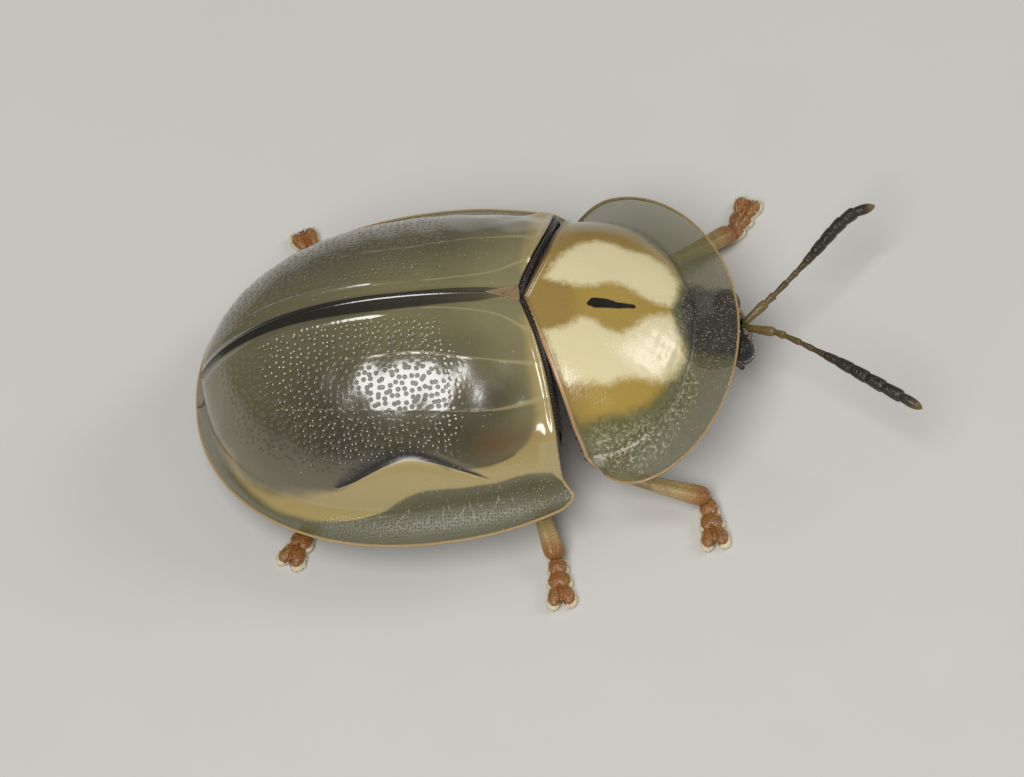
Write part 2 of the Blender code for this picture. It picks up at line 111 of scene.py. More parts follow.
def writePoints(obj, points):
    obj.data.vertices.foreach_set("co", np.asarray(points, float).ravel())
    obj.data.update()


def storeField(obj, name, values):
    # keeps one number for each point, which a material reads by its name
    field = obj.data.attributes.new(name, "FLOAT", "POINT")
    field.data.foreach_set("value", np.asarray(values, np.float32).ravel())


def copyOf(obj, name):
    twin = obj.copy()
    twin.data = obj.data.copy()
    twin.name = name
    bpy.context.scene.collection.objects.link(twin)
    return twin


def joined(name, pieces):
    chooseOnly(pieces[0])
    for piece in pieces[1:]:
        piece.select_set(True)
    if len(pieces) > 1:
        bpy.ops.object.join()
    pieces[0].name = name
    return pieces[0]


def finishPiece(obj, name, materials, nodes=(), sharpAngle=50):
    # scales a piece to metres in the solids' frame, gives its finish and lets it ride on the body
    obj.name = name
    obj.data.transform(Matrix.Scale(mm, 4) @ Matrix.Translation((-bodyCentreX, 0, 0)))
    chooseOnly(obj)
    bpy.ops.object.shade_smooth_by_angle(angle=math.radians(sharpAngle))
    if materials:
        obj.data.materials.clear()
    for material in materials:
        obj.data.materials.append(bpy.data.materials[material])
    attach(obj, "root")
    if nodes:
        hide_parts(*nodes)
    return obj


def mix(a, b, share):
    return a + (b - a) * share


def spot(u, v, centre, reach):
    # a soft round mask
    return np.exp(-((u - centre[0]) / reach[0]) ** 2 - ((v - centre[1]) / reach[1]) ** 2)


def softStep(value, low, high):
    share = np.clip((value - low) / (high - low), 0, 1)
    return share * share * (3 - 2 * share)


def insideDistance(x, y, outline):
    # how far each place is inside an outline, and below 0 outside it
    corners = np.array(outline)
    nearest = np.full(len(x), 1e9)
    inside = np.zeros(len(x), bool)
    for (ax, ay), (bx, by) in zip(corners, np.roll(corners, -1, axis=0)):
        ex, ey = bx - ax, by - ay
        t = np.clip(((x - ax) * ex + (y - ay) * ey) / (ex * ex + ey * ey), 0, 1)
        nearest = np.minimum(nearest, np.hypot(x - ax - t * ex, y - ay - t * ey))
        crosses = (ay > y) != (by > y)
        inside ^= crosses & (x < ax + (y - ay) * ex / (ey if abs(ey) > 1e-9 else 1e-9))
    return np.where(inside, nearest, -nearest)


# Shader building

def addNode(tree, kind, inputs=None, **settings):
    node = tree.nodes.new(kind)
    for key, value in settings.items():
        setattr(node, key, value)
    for key, value in (inputs or {}).items():
        if isinstance(value, bpy.types.NodeSocket):
            tree.links.new(value, node.inputs[key])
        else:
            node.inputs[key].default_value = value
    return node


def calc(tree, operation, *values, clamp=False):
    return addNode(tree, "ShaderNodeMath", dict(enumerate(values)), operation=operation,
                   use_clamp=clamp).outputs[0]


def times(tree, first, second, clamp=False):
    return calc(tree, "MULTIPLY", first, second, clamp=clamp)


def plus(tree, first, second, clamp=False):
    return calc(tree, "ADD", first, second, clamp=clamp)


def minus(tree, first, second):
    return calc(tree, "SUBTRACT", first, second)


def inverse(tree, value):
    return calc(tree, "SUBTRACT", 1.0, value)


def fade(tree, value, low, high):
    # 0 at low and 1 at high, with soft ends
    node = addNode(tree, "ShaderNodeMapRange", {"Value": value, "From Min": low, "From Max": high},
                   interpolation_type="SMOOTHSTEP")
    return node.outputs["Result"]


def fadeOut(tree, value, low, high):
    return inverse(tree, fade(tree, value, low, high))


def blendColour(tree, share, first, second, mode="MIX"):
    node = addNode(tree, "ShaderNodeMix", data_type="RGBA", blend_type=mode)
    for key, value in ((0, share), (6, first), (7, second)):
        if isinstance(value, bpy.types.NodeSocket):
            tree.links.new(value, node.inputs[key])
        else:
            node.inputs[key].default_value = value
    return node.outputs[2]


def layer(tree, shade, mask, code, strength=1.0):
    # one more colour over a shade, where the mask is
    share = mask if strength == 1.0 else times(tree, mask, strength)
    return blendColour(tree, share, shade, colour(code))


def field(tree, name):
    return addNode(tree, "ShaderNodeAttribute", attribute_name=name).outputs["Fac"]


def colour(code):
    # a linear colour from a web code
    parts = [int(code[i:i + 2], 16) / 255 for i in (0, 2, 4)]
    return (*[p / 12.92 if p <= 0.04045 else ((p + 0.055) / 1.055) ** 2.4 for p in parts], 1.0)


def newMaterial(name):
    material = bpy.data.materials.new(name)
    material.use_nodes = True
    tree = material.node_tree
    tree.nodes.clear()
    shader = addNode(tree, "ShaderNodeBsdfPrincipled")
    output = addNode(tree, "ShaderNodeOutputMaterial")
    tree.links.new(shader.outputs[0], output.inputs["Surface"])
    return tree, shader


def startFinish(name, patch, grain):
    # a new material, with the object's own places and a mottled tone to build on
    tree, shader = newMaterial(name)
    place = addNode(tree, "ShaderNodeTexCoord").outputs["Object"]
    tone = useGroup(tree, mottle, {"Place": place, "Patch": patch, "Grain": grain}).outputs["Tone"]
    return tree, shader, place, tone


def setPlain(shader, **values):
    # numbers that are the same all over the surface
    for key, value in values.items():
        shader.inputs[key.replace("_", " ")].default_value = value


def addBump(tree, shader, height):
    bump = addNode(tree, "ShaderNodeBump", {"Height": height, "Distance": mm, "Strength": 1.0})
    connect(tree, bump.outputs[0], shader, "Normal")


def connect(tree, value, shader, name):
    tree.links.new(value, shader.inputs[name])


def newGroup(name, inputs, outputs):
    # an input without a number takes a place, and all the others take and give numbers
    group = bpy.data.node_groups.new(name, "ShaderNodeTree")
    for key, number in inputs.items():
        kind = "NodeSocketVector" if number is None else "NodeSocketFloat"
        socket = group.interface.new_socket(key, in_out="INPUT", socket_type=kind)
        if number is not None:
            socket.default_value = number
    for key in outputs:
        group.interface.new_socket(key, in_out="OUTPUT", socket_type="NodeSocketFloat")
    return group, group.nodes.new("NodeGroupInput").outputs, group.nodes.new("NodeGroupOutput").inputs


def useGroup(tree, group, inputs):
    return addNode(tree, "ShaderNodeGroup", inputs, node_tree=group)


# Effects that several finishes share

def makePittedGroup():
    # round pits spread over a surface, as a height in millimetres
    group, given, result = newGroup("pits", {"Place": None, "Spacing": 0.14, "Width": 0.3, "Depth": 0.01,
                                             "Disorder": 0.55}, ("Height", "Pit"))
    scale = calc(group, "DIVIDE", 1.0, given["Spacing"])
    cells = addNode(group, "ShaderNodeTexVoronoi", {"Vector": given["Place"], "Scale": scale,
                                                    "Randomness": given["Disorder"]},
                    voronoi_dimensions="2D")
    edge = calc(group, "DIVIDE", cells.outputs["Distance"], given["Width"])
    pit = fadeOut(group, edge, 0.1, 1.15)
    height = times(group, pit, times(group, given["Depth"], -1.0))
    group.links.new(height, result["Height"])
    group.links.new(pit, result["Pit"])
    return group


def makeBrokenMaskGroup():
    # a mask whose edge is broken up by fine noise
    group, given, result = newGroup("brokenMask", {"Place": None, "Mask": 0.0, "Grain": 9000.0, "Breakup": 0.3},
                                    ("Mask",))
    noise = addNode(group, "ShaderNodeTexNoise", {"Vector": given["Place"], "Scale": given["Grain"],
                                                  "Detail": 3.0, "Roughness": 0.6})
    push = times(group, minus(group, noise.outputs[0], 0.5), given["Breakup"])
    moved = plus(group, given["Mask"], times(group, push, 2.0))
    group.links.new(fade(group, moved, 0.3, 0.7), result["Mask"])
    return group


def makeMottleGroup():
    # slow and fine changes of tone, 0 to 1 round 0.5
    group, given, result = newGroup("mottle", {"Place": None, "Patch": 900.0, "Grain": 9000.0},
                                    ("Tone",))
    slow = addNode(group, "ShaderNodeTexNoise", {"Vector": given["Place"], "Scale": given["Patch"],
                                                 "Detail": 2.0})
    fine = addNode(group, "ShaderNodeTexNoise", {"Vector": given["Place"], "Scale": given["Grain"],
                                                 "Detail": 3.0})
    tone = plus(group, times(group, slow.outputs[0], 0.65), times(group, fine.outputs[0], 0.35))
    group.links.new(tone, result["Tone"])
    return group


def makeFleckGroup():
    # small pale flecks, partly pale specks and partly painted glints, which lie thicker where Share is greater
    group, given, result = newGroup("flecks", {"Place": None, "Share": 0.2, "Spacing": 0.00009, "Size": 0.3},
                                    ("Fleck",))
    scale = calc(group, "DIVIDE", 1.0, given["Spacing"])
    cells = addNode(group, "ShaderNodeTexVoronoi", {"Vector": given["Place"], "Scale": scale})
    lot = addNode(group, "ShaderNodeSeparateColor", {0: cells.outputs["Color"]}).outputs[0]
    chosen = calc(group, "LESS_THAN", lot, given["Share"])
    dot = fadeOut(group, calc(group, "DIVIDE", cells.outputs["Distance"], given["Size"]), 0.6, 1.1)
    group.links.new(times(group, dot, chosen), result["Fleck"])
    return group


pitted = makePittedGroup()
flecks = makeFleckGroup()
brokenMask = makeBrokenMaskGroup()
mottle = makeMottleGroup()


# Camera, floor and lights

viewSettings = {
    "azimuth": 6.0, "elevation": 55.0, "roll": 10.44,
    "aim": (-0.4532, 0.3237, 1.5),     # across and up in the picture's plane, and the height that it aims at
    "distance": 150.0, "width": 18.417,
}


def pictureAxes():
    a, e, r = (math.radians(viewSettings[key]) for key in ("azimuth", "elevation", "roll"))
    forward = Vector((-math.sin(a) * math.cos(e), math.cos(a) * math.cos(e), -math.sin(e)))
    level = Vector((math.cos(a), math.sin(a), 0))
    upward = level.cross(forward)
    return (level * math.cos(r) - upward * math.sin(r), level * math.sin(r) + upward * math.cos(r), forward)


def makeCamera():
    across, upward, forward = pictureAxes()
    aimAcross, aimUp, aimHeight = viewSettings["aim"]
    target = across * aimAcross + upward * aimUp + forward * (Vector((0, 0, aimHeight)).dot(forward))
    target.x -= bodyCentreX
    place = (target - forward * viewSettings["distance"]) * mm
    turn = Matrix((across, upward, -forward)).transposed().to_4x4()
    bpy.ops.object.camera_add()
    camera = bpy.context.object
    camera.name = "beetleCamera"
    camera.matrix_world = Matrix.Translation(place) @ turn
    camera.data.sensor_width = 36
    camera.data.lens = 36 * viewSettings["distance"] / viewSettings["width"]
    camera.data.clip_start = 0.005
    camera.data.clip_end = 10
    bpy.context.scene.camera = camera


lightSettings = {
    "keyLight": {"towards": (-0.14, -0.48, 0.87), "distance": 0.2, "size": (0.1, 0.15), "power": 0.3},
    "frontLight": {"towards": (0.745, 0.234, 0.607), "distance": 0.2, "size": (0.085, 0.085), "power": 0.075},
    "skyStrength": 0.15,
}


def makeLights():
    for name in ("keyLight", "frontLight"):
        facts = lightSettings[name]
        bpy.ops.object.light_add(type="AREA")
        light = bpy.context.object
        light.name = name
        towards = Vector(facts["towards"]).normalized()
        light.location = towards * facts["distance"]
        light.rotation_mode = "QUATERNION"
        light.rotation_quaternion = towards.to_track_quat("Z", "Y")
        light.data.shape = "ELLIPSE"
        light.data.size, light.data.size_y = facts["size"]
        light.data.energy = facts["power"]
    world = bpy.data.worlds.new("studio")
    world.use_nodes = True
    background = world.node_tree.nodes["Background"]
    background.inputs["Color"].default_value = (1.0, 0.985, 0.95, 1)
    background.inputs["Strength"].default_value = lightSettings["skyStrength"]
    bpy.context.scene.world = world


def makeFloor():
    floor = startFrom(bpy.ops.mesh.primitive_plane_add, size=1.6)
    floor.name = "studioFloor"
    tree, shader, _, tone = startFinish("paleFloor", 40.0, 600.0)
    connect(tree, blendColour(tree, tone, colour("d2d0ca"), colour("dad8d3")), shader, "Base Color")
    setPlain(shader, Roughness=0.85, Specular_IOR_Level=0.2)
    floor.data.materials.append(bpy.data.materials["paleFloor"])


makeCamera()
makeLights()
makeFloor()
bpy.context.scene.view_settings.view_transform = "Standard"
print("camera, lights and floor are ready")


# Wing cases

wingCase = {
    "length": 6.1, "halfWidth": 3.63, "widestX": -1.7, "shoulder": (0.81, 3.09),
    "discShoulder": (0.5, 2.75), "tailRim": 1.0, "shoulderRise": 0.4, "sideInset": 0.6,
    "tailInset": 0.22, "discLift": 0.3, "marginPower": 2.4, "domeTop": (-2.1, 3.85), "frontHeight": 3.6,
    "frontPower": 2.25, "tailPower": 2.12, "domePowers": (2.6, 0.75),
    "baseX": 0.0, "baseBow": 0.13, "seamGap": 0.012, "wall": 0.06,
    "frontShare": 0.32, "discShare": 0.84,      # where v leaves the front part, and u the domed disc
    "facesAcross": 170, "facesAlong": 230,
}

# Lines on a wing case, as (u, v): u is 0 at the seam and 1 at the rim, v is 0 at the base and 1 at the tail
wingVeins = [
    [(0.25, 0.0), (0.204, 0.031), (0.142, 0.08), (0.112, 0.137), (0.094, 0.212), (0.082, 0.29), (0.08, 0.4)],
    [(0.42, 0.0), (0.405, 0.05), (0.385, 0.112), (0.361, 0.192), (0.325, 0.301), (0.313, 0.353), (0.323, 0.458)],
    [(0.567, 0.0), (0.587, 0.08), (0.593, 0.159), (0.583, 0.251), (0.567, 0.33), (0.549, 0.467), (0.543, 0.627)],
]
wingFold = [(0.806, 0.505), (0.788, 0.471), (0.766, 0.438), (0.741, 0.402), (0.728, 0.375), (0.728, 0.35),
            (0.744, 0.32), (0.76, 0.285), (0.78, 0.24), (0.804, 0.19)]
foldTail = [(0.762, 0.29), (0.768, 0.25), (0.772, 0.2), (0.764, 0.15), (0.75, 0.11)]
creamOutline = [(0.7, 0.98), (0.735, 0.904), (0.76, 0.789), (0.828, 0.737), (0.838, 0.69), (0.818, 0.565),
                (0.806, 0.505), (0.788, 0.471), (0.766, 0.438), (0.741, 0.402), (0.728, 0.375), (0.728, 0.35),
                (0.744, 0.32), (0.762, 0.285), (0.77, 0.22), (0.766, 0.158), (0.748, 0.105), (0.69, 0.066),
                (0.511, 0.06), (0.329, 0.05), (0.178, 0.035), (0.12, 0.02), (0.1, -0.05), (0.86, -0.05),
                (0.826, 0.024), (0.812, 0.093), (0.816, 0.165), (0.814, 0.266), (0.812, 0.344), (0.834, 0.398),
                (0.886, 0.486), (0.932, 0.618), (0.942, 0.691), (0.92, 0.772), (0.874, 0.881), (0.8, 0.98)]
discEdge = [(0, 0.826), (0.024, 0.826), (0.093, 0.812), (0.165, 0.816), (0.266, 0.814), (0.344, 0.812),
            (0.398, 0.834), (0.486, 0.886), (0.618, 0.93), (0.691, 0.935), (0.772, 0.915), (0.881, 0.874), (1, 0.8)]
marginVeinlets = [0.137, 0.16, 0.186, 0.217, 0.243, 0.27, 0.289, 0.318, 0.34, 0.362, 0.39, 0.425]


def seamHeight(x):
    w = wingCase
    topX, top = w["domeTop"]
    front = top - (top - w["frontHeight"]) * ((x - topX) / topX) ** 2
    share = np.clip((topX - x) / (w["length"] + topX), 0, 1)
    return np.where(x > topX, front, w["tailRim"] + (top - w["tailRim"]) * np.sqrt(1 - share ** w["frontPower"]))


def rimHeight(x):
    w = wingCase
    return w["tailRim"] + w["shoulderRise"] * (x + w["length"]) / (w["shoulder"][0] + w["length"])


def caseHalfWidth(x, shoulder, halfWidth, tailX):
    w = wingCase
    front = np.clip((x - w["widestX"]) / (shoulder[0] - w["widestX"]), 0, 1)
    back = np.clip((w["widestX"] - x) / (w["widestX"] - tailX), 0, 1)
    return np.where(x > w["widestX"], halfWidth - (halfWidth - shoulder[1]) * front ** w["frontPower"],
                    halfWidth * (1 - back ** w["tailPower"]) ** (1 / w["tailPower"]))


def discHalfWidth(x):
    w = wingCase
    return caseHalfWidth(x, w["discShoulder"], w["halfWidth"] - w["sideInset"], w["tailInset"] - w["length"])


def casePoint(u, v):
    # a point of the left wing case, before its small relief
    w = wingCase
    discHalf = w["halfWidth"] - w["sideInset"]
    discTail = w["tailInset"] - w["length"]
    f = np.clip(v / w["frontShare"], 0, 1)
    angle = np.clip((v - w["frontShare"]) / (1 - w["frontShare"]), 0, 1) * np.pi / 2
    along = np.sin(angle) ** (2 / w["tailPower"])
    across = np.maximum(np.cos(angle), 0) ** (2 / w["tailPower"])
    front = v < w["frontShare"]
    seamX = np.where(front, mix(w["baseX"], w["widestX"], f), mix(w["widestX"], discTail, along))
    discX = np.where(front, mix(w["discShoulder"][0], w["widestX"], f), mix(w["widestX"], discTail, along))
    discY = np.where(front, caseHalfWidth(discX, w["discShoulder"], discHalf, discTail), discHalf * across)
    rimX = np.where(front, mix(w["shoulder"][0], w["widestX"], f), mix(w["widestX"], -w["length"], along))
    rimY = np.where(front, caseHalfWidth(rimX, w["shoulder"], w["halfWidth"], -w["length"]),
                    w["halfWidth"] * across)
    onDisc = u <= w["discShare"]
    q = np.clip(u / w["discShare"], 0, 1)
    r = np.clip((u - w["discShare"]) / (1 - w["discShare"]), 0, 1)
    x = np.where(onDisc, mix(seamX, discX, q), mix(discX, rimX, r))
    y = np.where(onDisc, discY * q, mix(discY, rimY, r))
    x = x + w["baseBow"] * np.sin(np.pi * np.clip(y / w["discShoulder"][1], 0, 1)) * (1 - f) * onDisc
    x = x - 0.16 * softStep(u, 0.9, 1.0) ** 2 * (1 - softStep(v, 0.0, 0.05))        # the rounded shoulder
    edge = rimHeight(x) + w["discLift"]
    inner, outer = w["domePowers"]
    share = np.clip(np.abs(y) / np.maximum(discHalfWidth(x), 1e-6), 0, 1)
    dome = edge + np.maximum(seamHeight(x) - edge, 0) * (1 - share ** inner) ** outer
    z = np.where(onDisc, dome, rimHeight(x) + w["discLift"] * (1 - r) ** w["marginPower"])
    return np.stack([x, y, z], -1)


def surfaceNormals(place, u, v, step=0.002):
    alongU = place(np.clip(u + step, 0, 1), v) - place(np.clip(u - step, 0, 1), v)
    alongV = place(u, np.clip(v + step, 0, 1)) - place(u, np.clip(v - step, 0, 1))
    normals = np.cross(alongU, alongV)
    lengths = np.linalg.norm(normals, axis=-1, keepdims=True)
    normals = np.where(lengths > 1e-9, normals / np.maximum(lengths, 1e-9), (0, 0, 1))
    return np.where(normals[..., 2:3] < 0, -normals, normals)


def smoothLine(line, count):
    # places spread along the smooth curve through a line's points
    line = np.array(line, float)
    ends = np.vstack([2 * line[0] - line[1], line, 2 * line[-1] - line[-2]])
    where = np.linspace(0, len(line) - 1, count)
    i = np.minimum(where.astype(int), len(line) - 2)
    t = (where - i)[:, None]
    p0, p1, p2, p3 = ends[i], ends[i + 1], ends[i + 2], ends[i + 3]
    curve = 0.5 * (2 * p1 + (p2 - p0) * t + (2 * p0 - 5 * p1 + 4 * p2 - p3) * t ** 2
                   + (3 * p1 - p0 - 3 * p2 + p3) * t ** 3)
    return curve[:, 0], curve[:, 1]


def lineDistance(points, place, line, samples=160):
    # how far each point is from a smooth line through (u, v) places, and how far along the line that is
    share = np.linspace(0, 1, samples)
    curve = place(*smoothLine(line, samples))
    nearest = np.full(len(points), 1e9)
    where = np.zeros(len(points))
    for i in range(samples):
        distance = np.linalg.norm(points - curve[i], axis=1)
        closer = distance < nearest
        nearest[closer] = distance[closer]
        where[closer] = share[i]
    return nearest, where


def caseRelief(u, v, points):
    # the height of ridges, grooves and bumps over the plain form, and the lines' own fields
    y = points[:, 1]
    fields = {}
    # the raised seam with a groove beside it, and the swelling that catches the light
    height = 0.014 * np.exp(-(y / 0.02) ** 2) - 0.022 * np.exp(-((y - 0.14) / 0.07) ** 2)
    height += 0.034 * np.exp(-((y - 0.35) / 0.05) ** 2) * softStep(v, 0.33, 0.42) * (1 - softStep(v, 0.58, 0.72))
    height *= 1 - 0.6 * softStep(v, 0.85, 1.0)
    # veins, finer towards their front ends
    vein = np.full(len(u), 9.0)
    for line in wingVeins:
        distance, along = lineDistance(points, casePoint, line)
        vein = np.minimum(vein, distance / mix(1.0, 0.3, softStep(along, 0.0, 0.4)))
    fields["vein"] = vein
    height += 0.006 * np.exp(-(vein / 0.06) ** 2) * (1 - softStep(v, 0.3, 0.6))
    fold = lineDistance(points, casePoint, wingFold, 400)[0]
    # the fold: a hollow above its line, and cream swelling below it
    foldU = np.interp(v, [p[1] for p in wingFold[::-1]], [p[0] for p in wingFold[::-1]])
    above = softStep(foldU - u, -0.008, 0.014)
    thickness = np.interp(v, [0.19, 0.25, 0.3, 0.35, 0.42, 0.47, 0.505], [0.06, 0.09, 0.15, 0.27, 0.36, 0.3, 0.16])
    reach = softStep(v, 0.17, 0.22) * (1 - softStep(v, 0.495, 0.52))
    fields["fold"] = fold * np.where(foldU > u, 1, -1)
    fields["foldReach"] = reach
    fields["foldThickness"] = thickness
    hollow = above * np.exp(-(fold / thickness) ** 2) * reach
    fields["foldTail"] = lineDistance(points, casePoint, foldTail, 120)[0]
    height += 0.008 * (1 - above) * np.exp(-((fold - 0.2) / 0.16) ** 2) * spot(u, v, (0.77, 0.38), (1, 0.1))
    height -= 0.04 * hollow
    # wavy veinlets that cross the clear margin
    veinlet = np.full(len(u), 9.0)
    for i, start in enumerate(marginVeinlets):
        lean = 0.012 * math.sin(2.3 * i)
        line = [(0.818, start), (0.85, start + lean), (0.885, start - lean * 0.5),
                (0.915 + 0.03 * math.cos(i * 1.7), start + lean * 0.7)]
        veinlet = np.minimum(veinlet, lineDistance(points, casePoint, line, 40)[0])
    fields["veinlet"] = veinlet
    # the thickened base, and the shoulder bump
    baseLine = lineDistance(points, casePoint, [(0.0, 0.0), (0.4, 0.0), (0.84, 0.0)], 200)[0]
    fields["base"] = baseLine
    bead = softStep(u, 0.12, 0.3) * (1 - softStep(u, 0.74, 0.84))
    height += 0.045 * np.exp(-((baseLine - 0.05) / 0.05) ** 2) * bead
    height += 0.1 * spot(u, v, (0.715, 0.024), (0.045, 0.024))
    height += 0.01 * np.sin(34 * u) * np.sin(60 * v + 9 * u) * spot(u, v, (0.58, 0.09), (0.14, 0.06))
    # the bead round the rim, and slow waves that keep the dome from looking turned
    rimLine = np.minimum(lineDistance(points, casePoint, [(1.0, s) for s in np.linspace(0, 1, 60)], 600)[0],
                         lineDistance(points, casePoint, [(0.84, 0.0), (1.0, 0.0)], 60)[0])
    fields["rim"] = rimLine
    height += 0.02 * np.exp(-((rimLine - 0.03) / 0.03) ** 2)
    height += 0.006 * np.sin(9 * points[:, 0] + 2 * y) * np.sin(5 * y + 1.3) * softStep(y, 0.4, 0.8) * (u < 0.8)
    return height, fields


def casePaint(u, v, points, side, fields):
    # soft masks for the finish, worked out from the place on the wing case
    y = points[:, 1]
    paint = {}
    edge = np.interp(v, [p[0] for p in discEdge], [p[1] for p in discEdge])
    paint["disc"] = 1 - softStep(u - edge, -0.015, 0.025)
    # a dark band beside the seam: painted shade of the groove there, wider on the near wing case than on the far one
    if side < 0:
        bandWidth = np.interp(v, [0, 0.03, 0.08, 0.14, 0.39, 0.484, 0.571, 0.68, 0.85, 1],
                              [0.05, 0.07, 0.12, 0.2, 0.31, 0.26, 0.19, 0.14, 0.09, 0.03])
    else:
        bandWidth = np.interp(v, [0, 0.1, 0.2, 0.35, 0.6, 1], [0.06, 0.12, 0.11, 0.08, 0.1, 0.03])
    paint["seamBand"] = 1 - softStep(y, bandWidth * 0.55, bandWidth * 1.3)
    paint["seamStrength"] = np.interp(v, [0, 0.05, 0.12, 0.3, 0.5, 0.9, 1], [0.25, 0.45, 0.7, 0.85, 0.96, 0.96, 0.6])
    light = 0.42 + 0.5 * (1 - softStep(v, 0.0, 0.26))
    light += 0.3 * (1 - softStep(u, 0.1, 0.34)) * (1 - softStep(v, 0.3, 0.6))
    light += 0.1 * softStep(v, 0.62, 0.9)
    light -= 0.4 * spot(u, v, (0.53, 0.11), (0.09, 0.09)) + 0.25 * spot(u, v, (0.55, 0.52), (0.2, 0.16))
    light -= 0.3 * spot(u, v, (0.66, 0.24), (0.1, 0.16)) + 0.12 * spot(u, v, (0.7, 0.55), (0.1, 0.2))
    paint["light"] = np.clip(light, 0, 1)
    outline = np.stack(smoothLine(creamOutline + creamOutline[:1], 160), -1) * (3.8, 6.0)
    inside = insideDistance(u * 3.8, v * 6.0, outline)
    soft = 0.05 + 0.3 * (1 - softStep(v, 0.08, 0.16)) * (1 - softStep(u, 0.66, 0.78)) + 0.3 * softStep(v, 0.45, 0.65)
    paint["cream"] = softStep(inside / soft, -0.8, 1.0) * (1 - 0.5 * softStep(v, 0.55, 0.85))
    paint["cream"] *= 1 - 0.3 * (1 - softStep(v, 0.1, 0.2)) * (1 - softStep(u, 0.62, 0.76))
    paint["rust"] = np.clip(0.55 * spot(u, v, (0.71, 0.165), (0.035, 0.045))
                            + 0.35 * spot(u, v, (0.7, 0.09), (0.04, 0.05)), 0, 1)
    paint["pits"] = softStep(v, 0.2, 0.34) * (1 - softStep(v, 0.7, 0.86)) * softStep(u, 0.1, 0.16) \
        * (1 - softStep(u, 0.72, 0.78))
    paint["pits"] *= 1 - 0.9 * softStep(0.2 - fields["fold"], 0.0, 0.12) * softStep(fields["fold"], -0.3, -0.2)
    # where pale flecks lie thicker: partly pale specks of the shell and partly painted glints
    front = 1 - softStep(v, 0.08, 0.5)
    border = np.exp(-((u - edge - 0.01) / 0.03) ** 2) * (1 - softStep(v, 0.45, 0.62))
    corner = softStep(u, edge - 0.03, edge + 0.01) * (1 - softStep(v, 0.02, 0.2))
    paint["fleck"] = np.clip(0.35 * border + 0.3 * corner + 0.06 * softStep(u, edge, edge + 0.02) * front
                             + (0.07 if side > 0 else 0.025) * (1 - softStep(u, 0.78, 0.82)), 0, 0.6)
    paint["finePits"] = softStep(u, 0.84, 0.88) * (1 - softStep(v, 0.4, 0.62))
    return paint


def arcPlaces(u, v, place):
    # a flat map in millimetres, so that pits keep their size over the curved shell
    steps = np.linspace(0, 1, 161)
    rows = np.linspace(0, 1, 161)
    gridU, gridV = np.meshgrid(steps, rows)
    points = place(gridU.ravel(), gridV.ravel()).reshape(161, 161, 3)
    lengths = np.linalg.norm(np.diff(points, axis=1), axis=2)
    arc = np.concatenate([np.zeros((161, 1)), np.cumsum(lengths, axis=1)], axis=1)
    fu = np.clip(u * 160, 0, 159.999)
    fv = np.clip(v * 160, 0, 159.999)
    i, j = fv.astype(int), fu.astype(int)
    a, b = fv - i, fu - j
    across = (arc[i, j] * (1 - a) * (1 - b) + arc[i, j + 1] * (1 - a) * b
              + arc[i + 1, j] * a * (1 - b) + arc[i + 1, j + 1] * a * b)
    return across, place(u, v)[:, 0]


def writeUv(obj, name, first, second):
    # writes one UV place for each point of a mesh
    layer = obj.data.uv_layers.get(name) or obj.data.uv_layers.new(name=name)
    index = np.empty(len(obj.data.loops), int)
    obj.data.loops.foreach_get("vertex_index", index)
    values = np.stack([first[index], second[index]], -1)
    layer.data.foreach_set("uv", values.ravel())


def frontReach(u, v, side):
    # the far wing case lies closer to the turned neck shield
    return 0.17 * softStep(u, 0.08, 0.6) * (1 - softStep(v, 0.0, 0.14)) * (side > 0)


def makeWingCase(side):
    w = wingCase
    case, u, v = flatGrid(w["facesAcross"], w["facesAlong"])
    u = mix(u, u ** 1.6, 0.6)           # more rows near the seam and the base
    v = mix(v, v ** 1.25, 0.7)
    plain = casePoint(u, v)
    height, fields = caseRelief(u, v, plain)
    points = plain + surfaceNormals(casePoint, u, v) * height[:, None]
    writeUv(case, "pitMap", *arcPlaces(u, v, casePoint))
    halfGap = w["seamGap"] / 2
    points[:, 1] = side * (halfGap + np.maximum(points[:, 1], 0) * (1 - halfGap / w["halfWidth"]))
    points[:, 0] += frontReach(u, v, side)
    fields.update(casePaint(u, v, plain, side, fields))
    return shellFrom(case, points, fields, w["wall"], "wingCaseTop")


def flatGrid(facesAcross, facesAlong):
    # a grid, and the place of each of its points across and along it, from 0 to 1
    grid = startFrom(bpy.ops.mesh.primitive_grid_add, x_subdivisions=facesAcross, y_subdivisions=facesAlong, size=1)
    flat = readPoints(grid)
    return grid, flat[:, 0] + 0.5, flat[:, 1] + 0.5


def shellFrom(grid, points, fields, thickness, topFinish):
    # bends a grid into a shell with a wall, its fields kept for the finish
    writePoints(grid, points)
    for key, values in fields.items():
        storeField(grid, key, values)
    closeSeams(grid)
    if sum(face.normal.z for face in grid.data.polygons) < 0:
        grid.data.flip_normals()
    addModifier(grid, "wall", "SOLIDIFY", thickness=thickness, offset=-1, material_offset=1, material_offset_rim=0)
    for name in (topFinish, "shellLining"):
        grid.data.materials.append(bpy.data.materials[name])
    applyAll(grid)
    return grid


def shellClearness(tree, shader, cover):
    # the clear margin shows what is under it, less so where light glances off it
    glance = addNode(tree, "ShaderNodeLayerWeight", {"Blend": 0.25}).outputs["Facing"]
    solid = plus(tree, cover, times(tree, calc(tree, "POWER", glance, 3.0), 0.35), clamp=True)
    connect(tree, solid, shader, "Alpha")


wingFinish = {
    "dark": "363122", "light": "8a825c", "cream": "b7a166", "band": "0d0b08", "foldShade": "1a130a", "vein": "b4a678",
    "rust": "6b4526", "margin": "53522c", "marginPale": "6b683e", "rim": "b0925c", "marginCover": 0.68,
    "pitSpacing": 0.118, "pitDepth": 0.018, "roughness": 0.1,
}


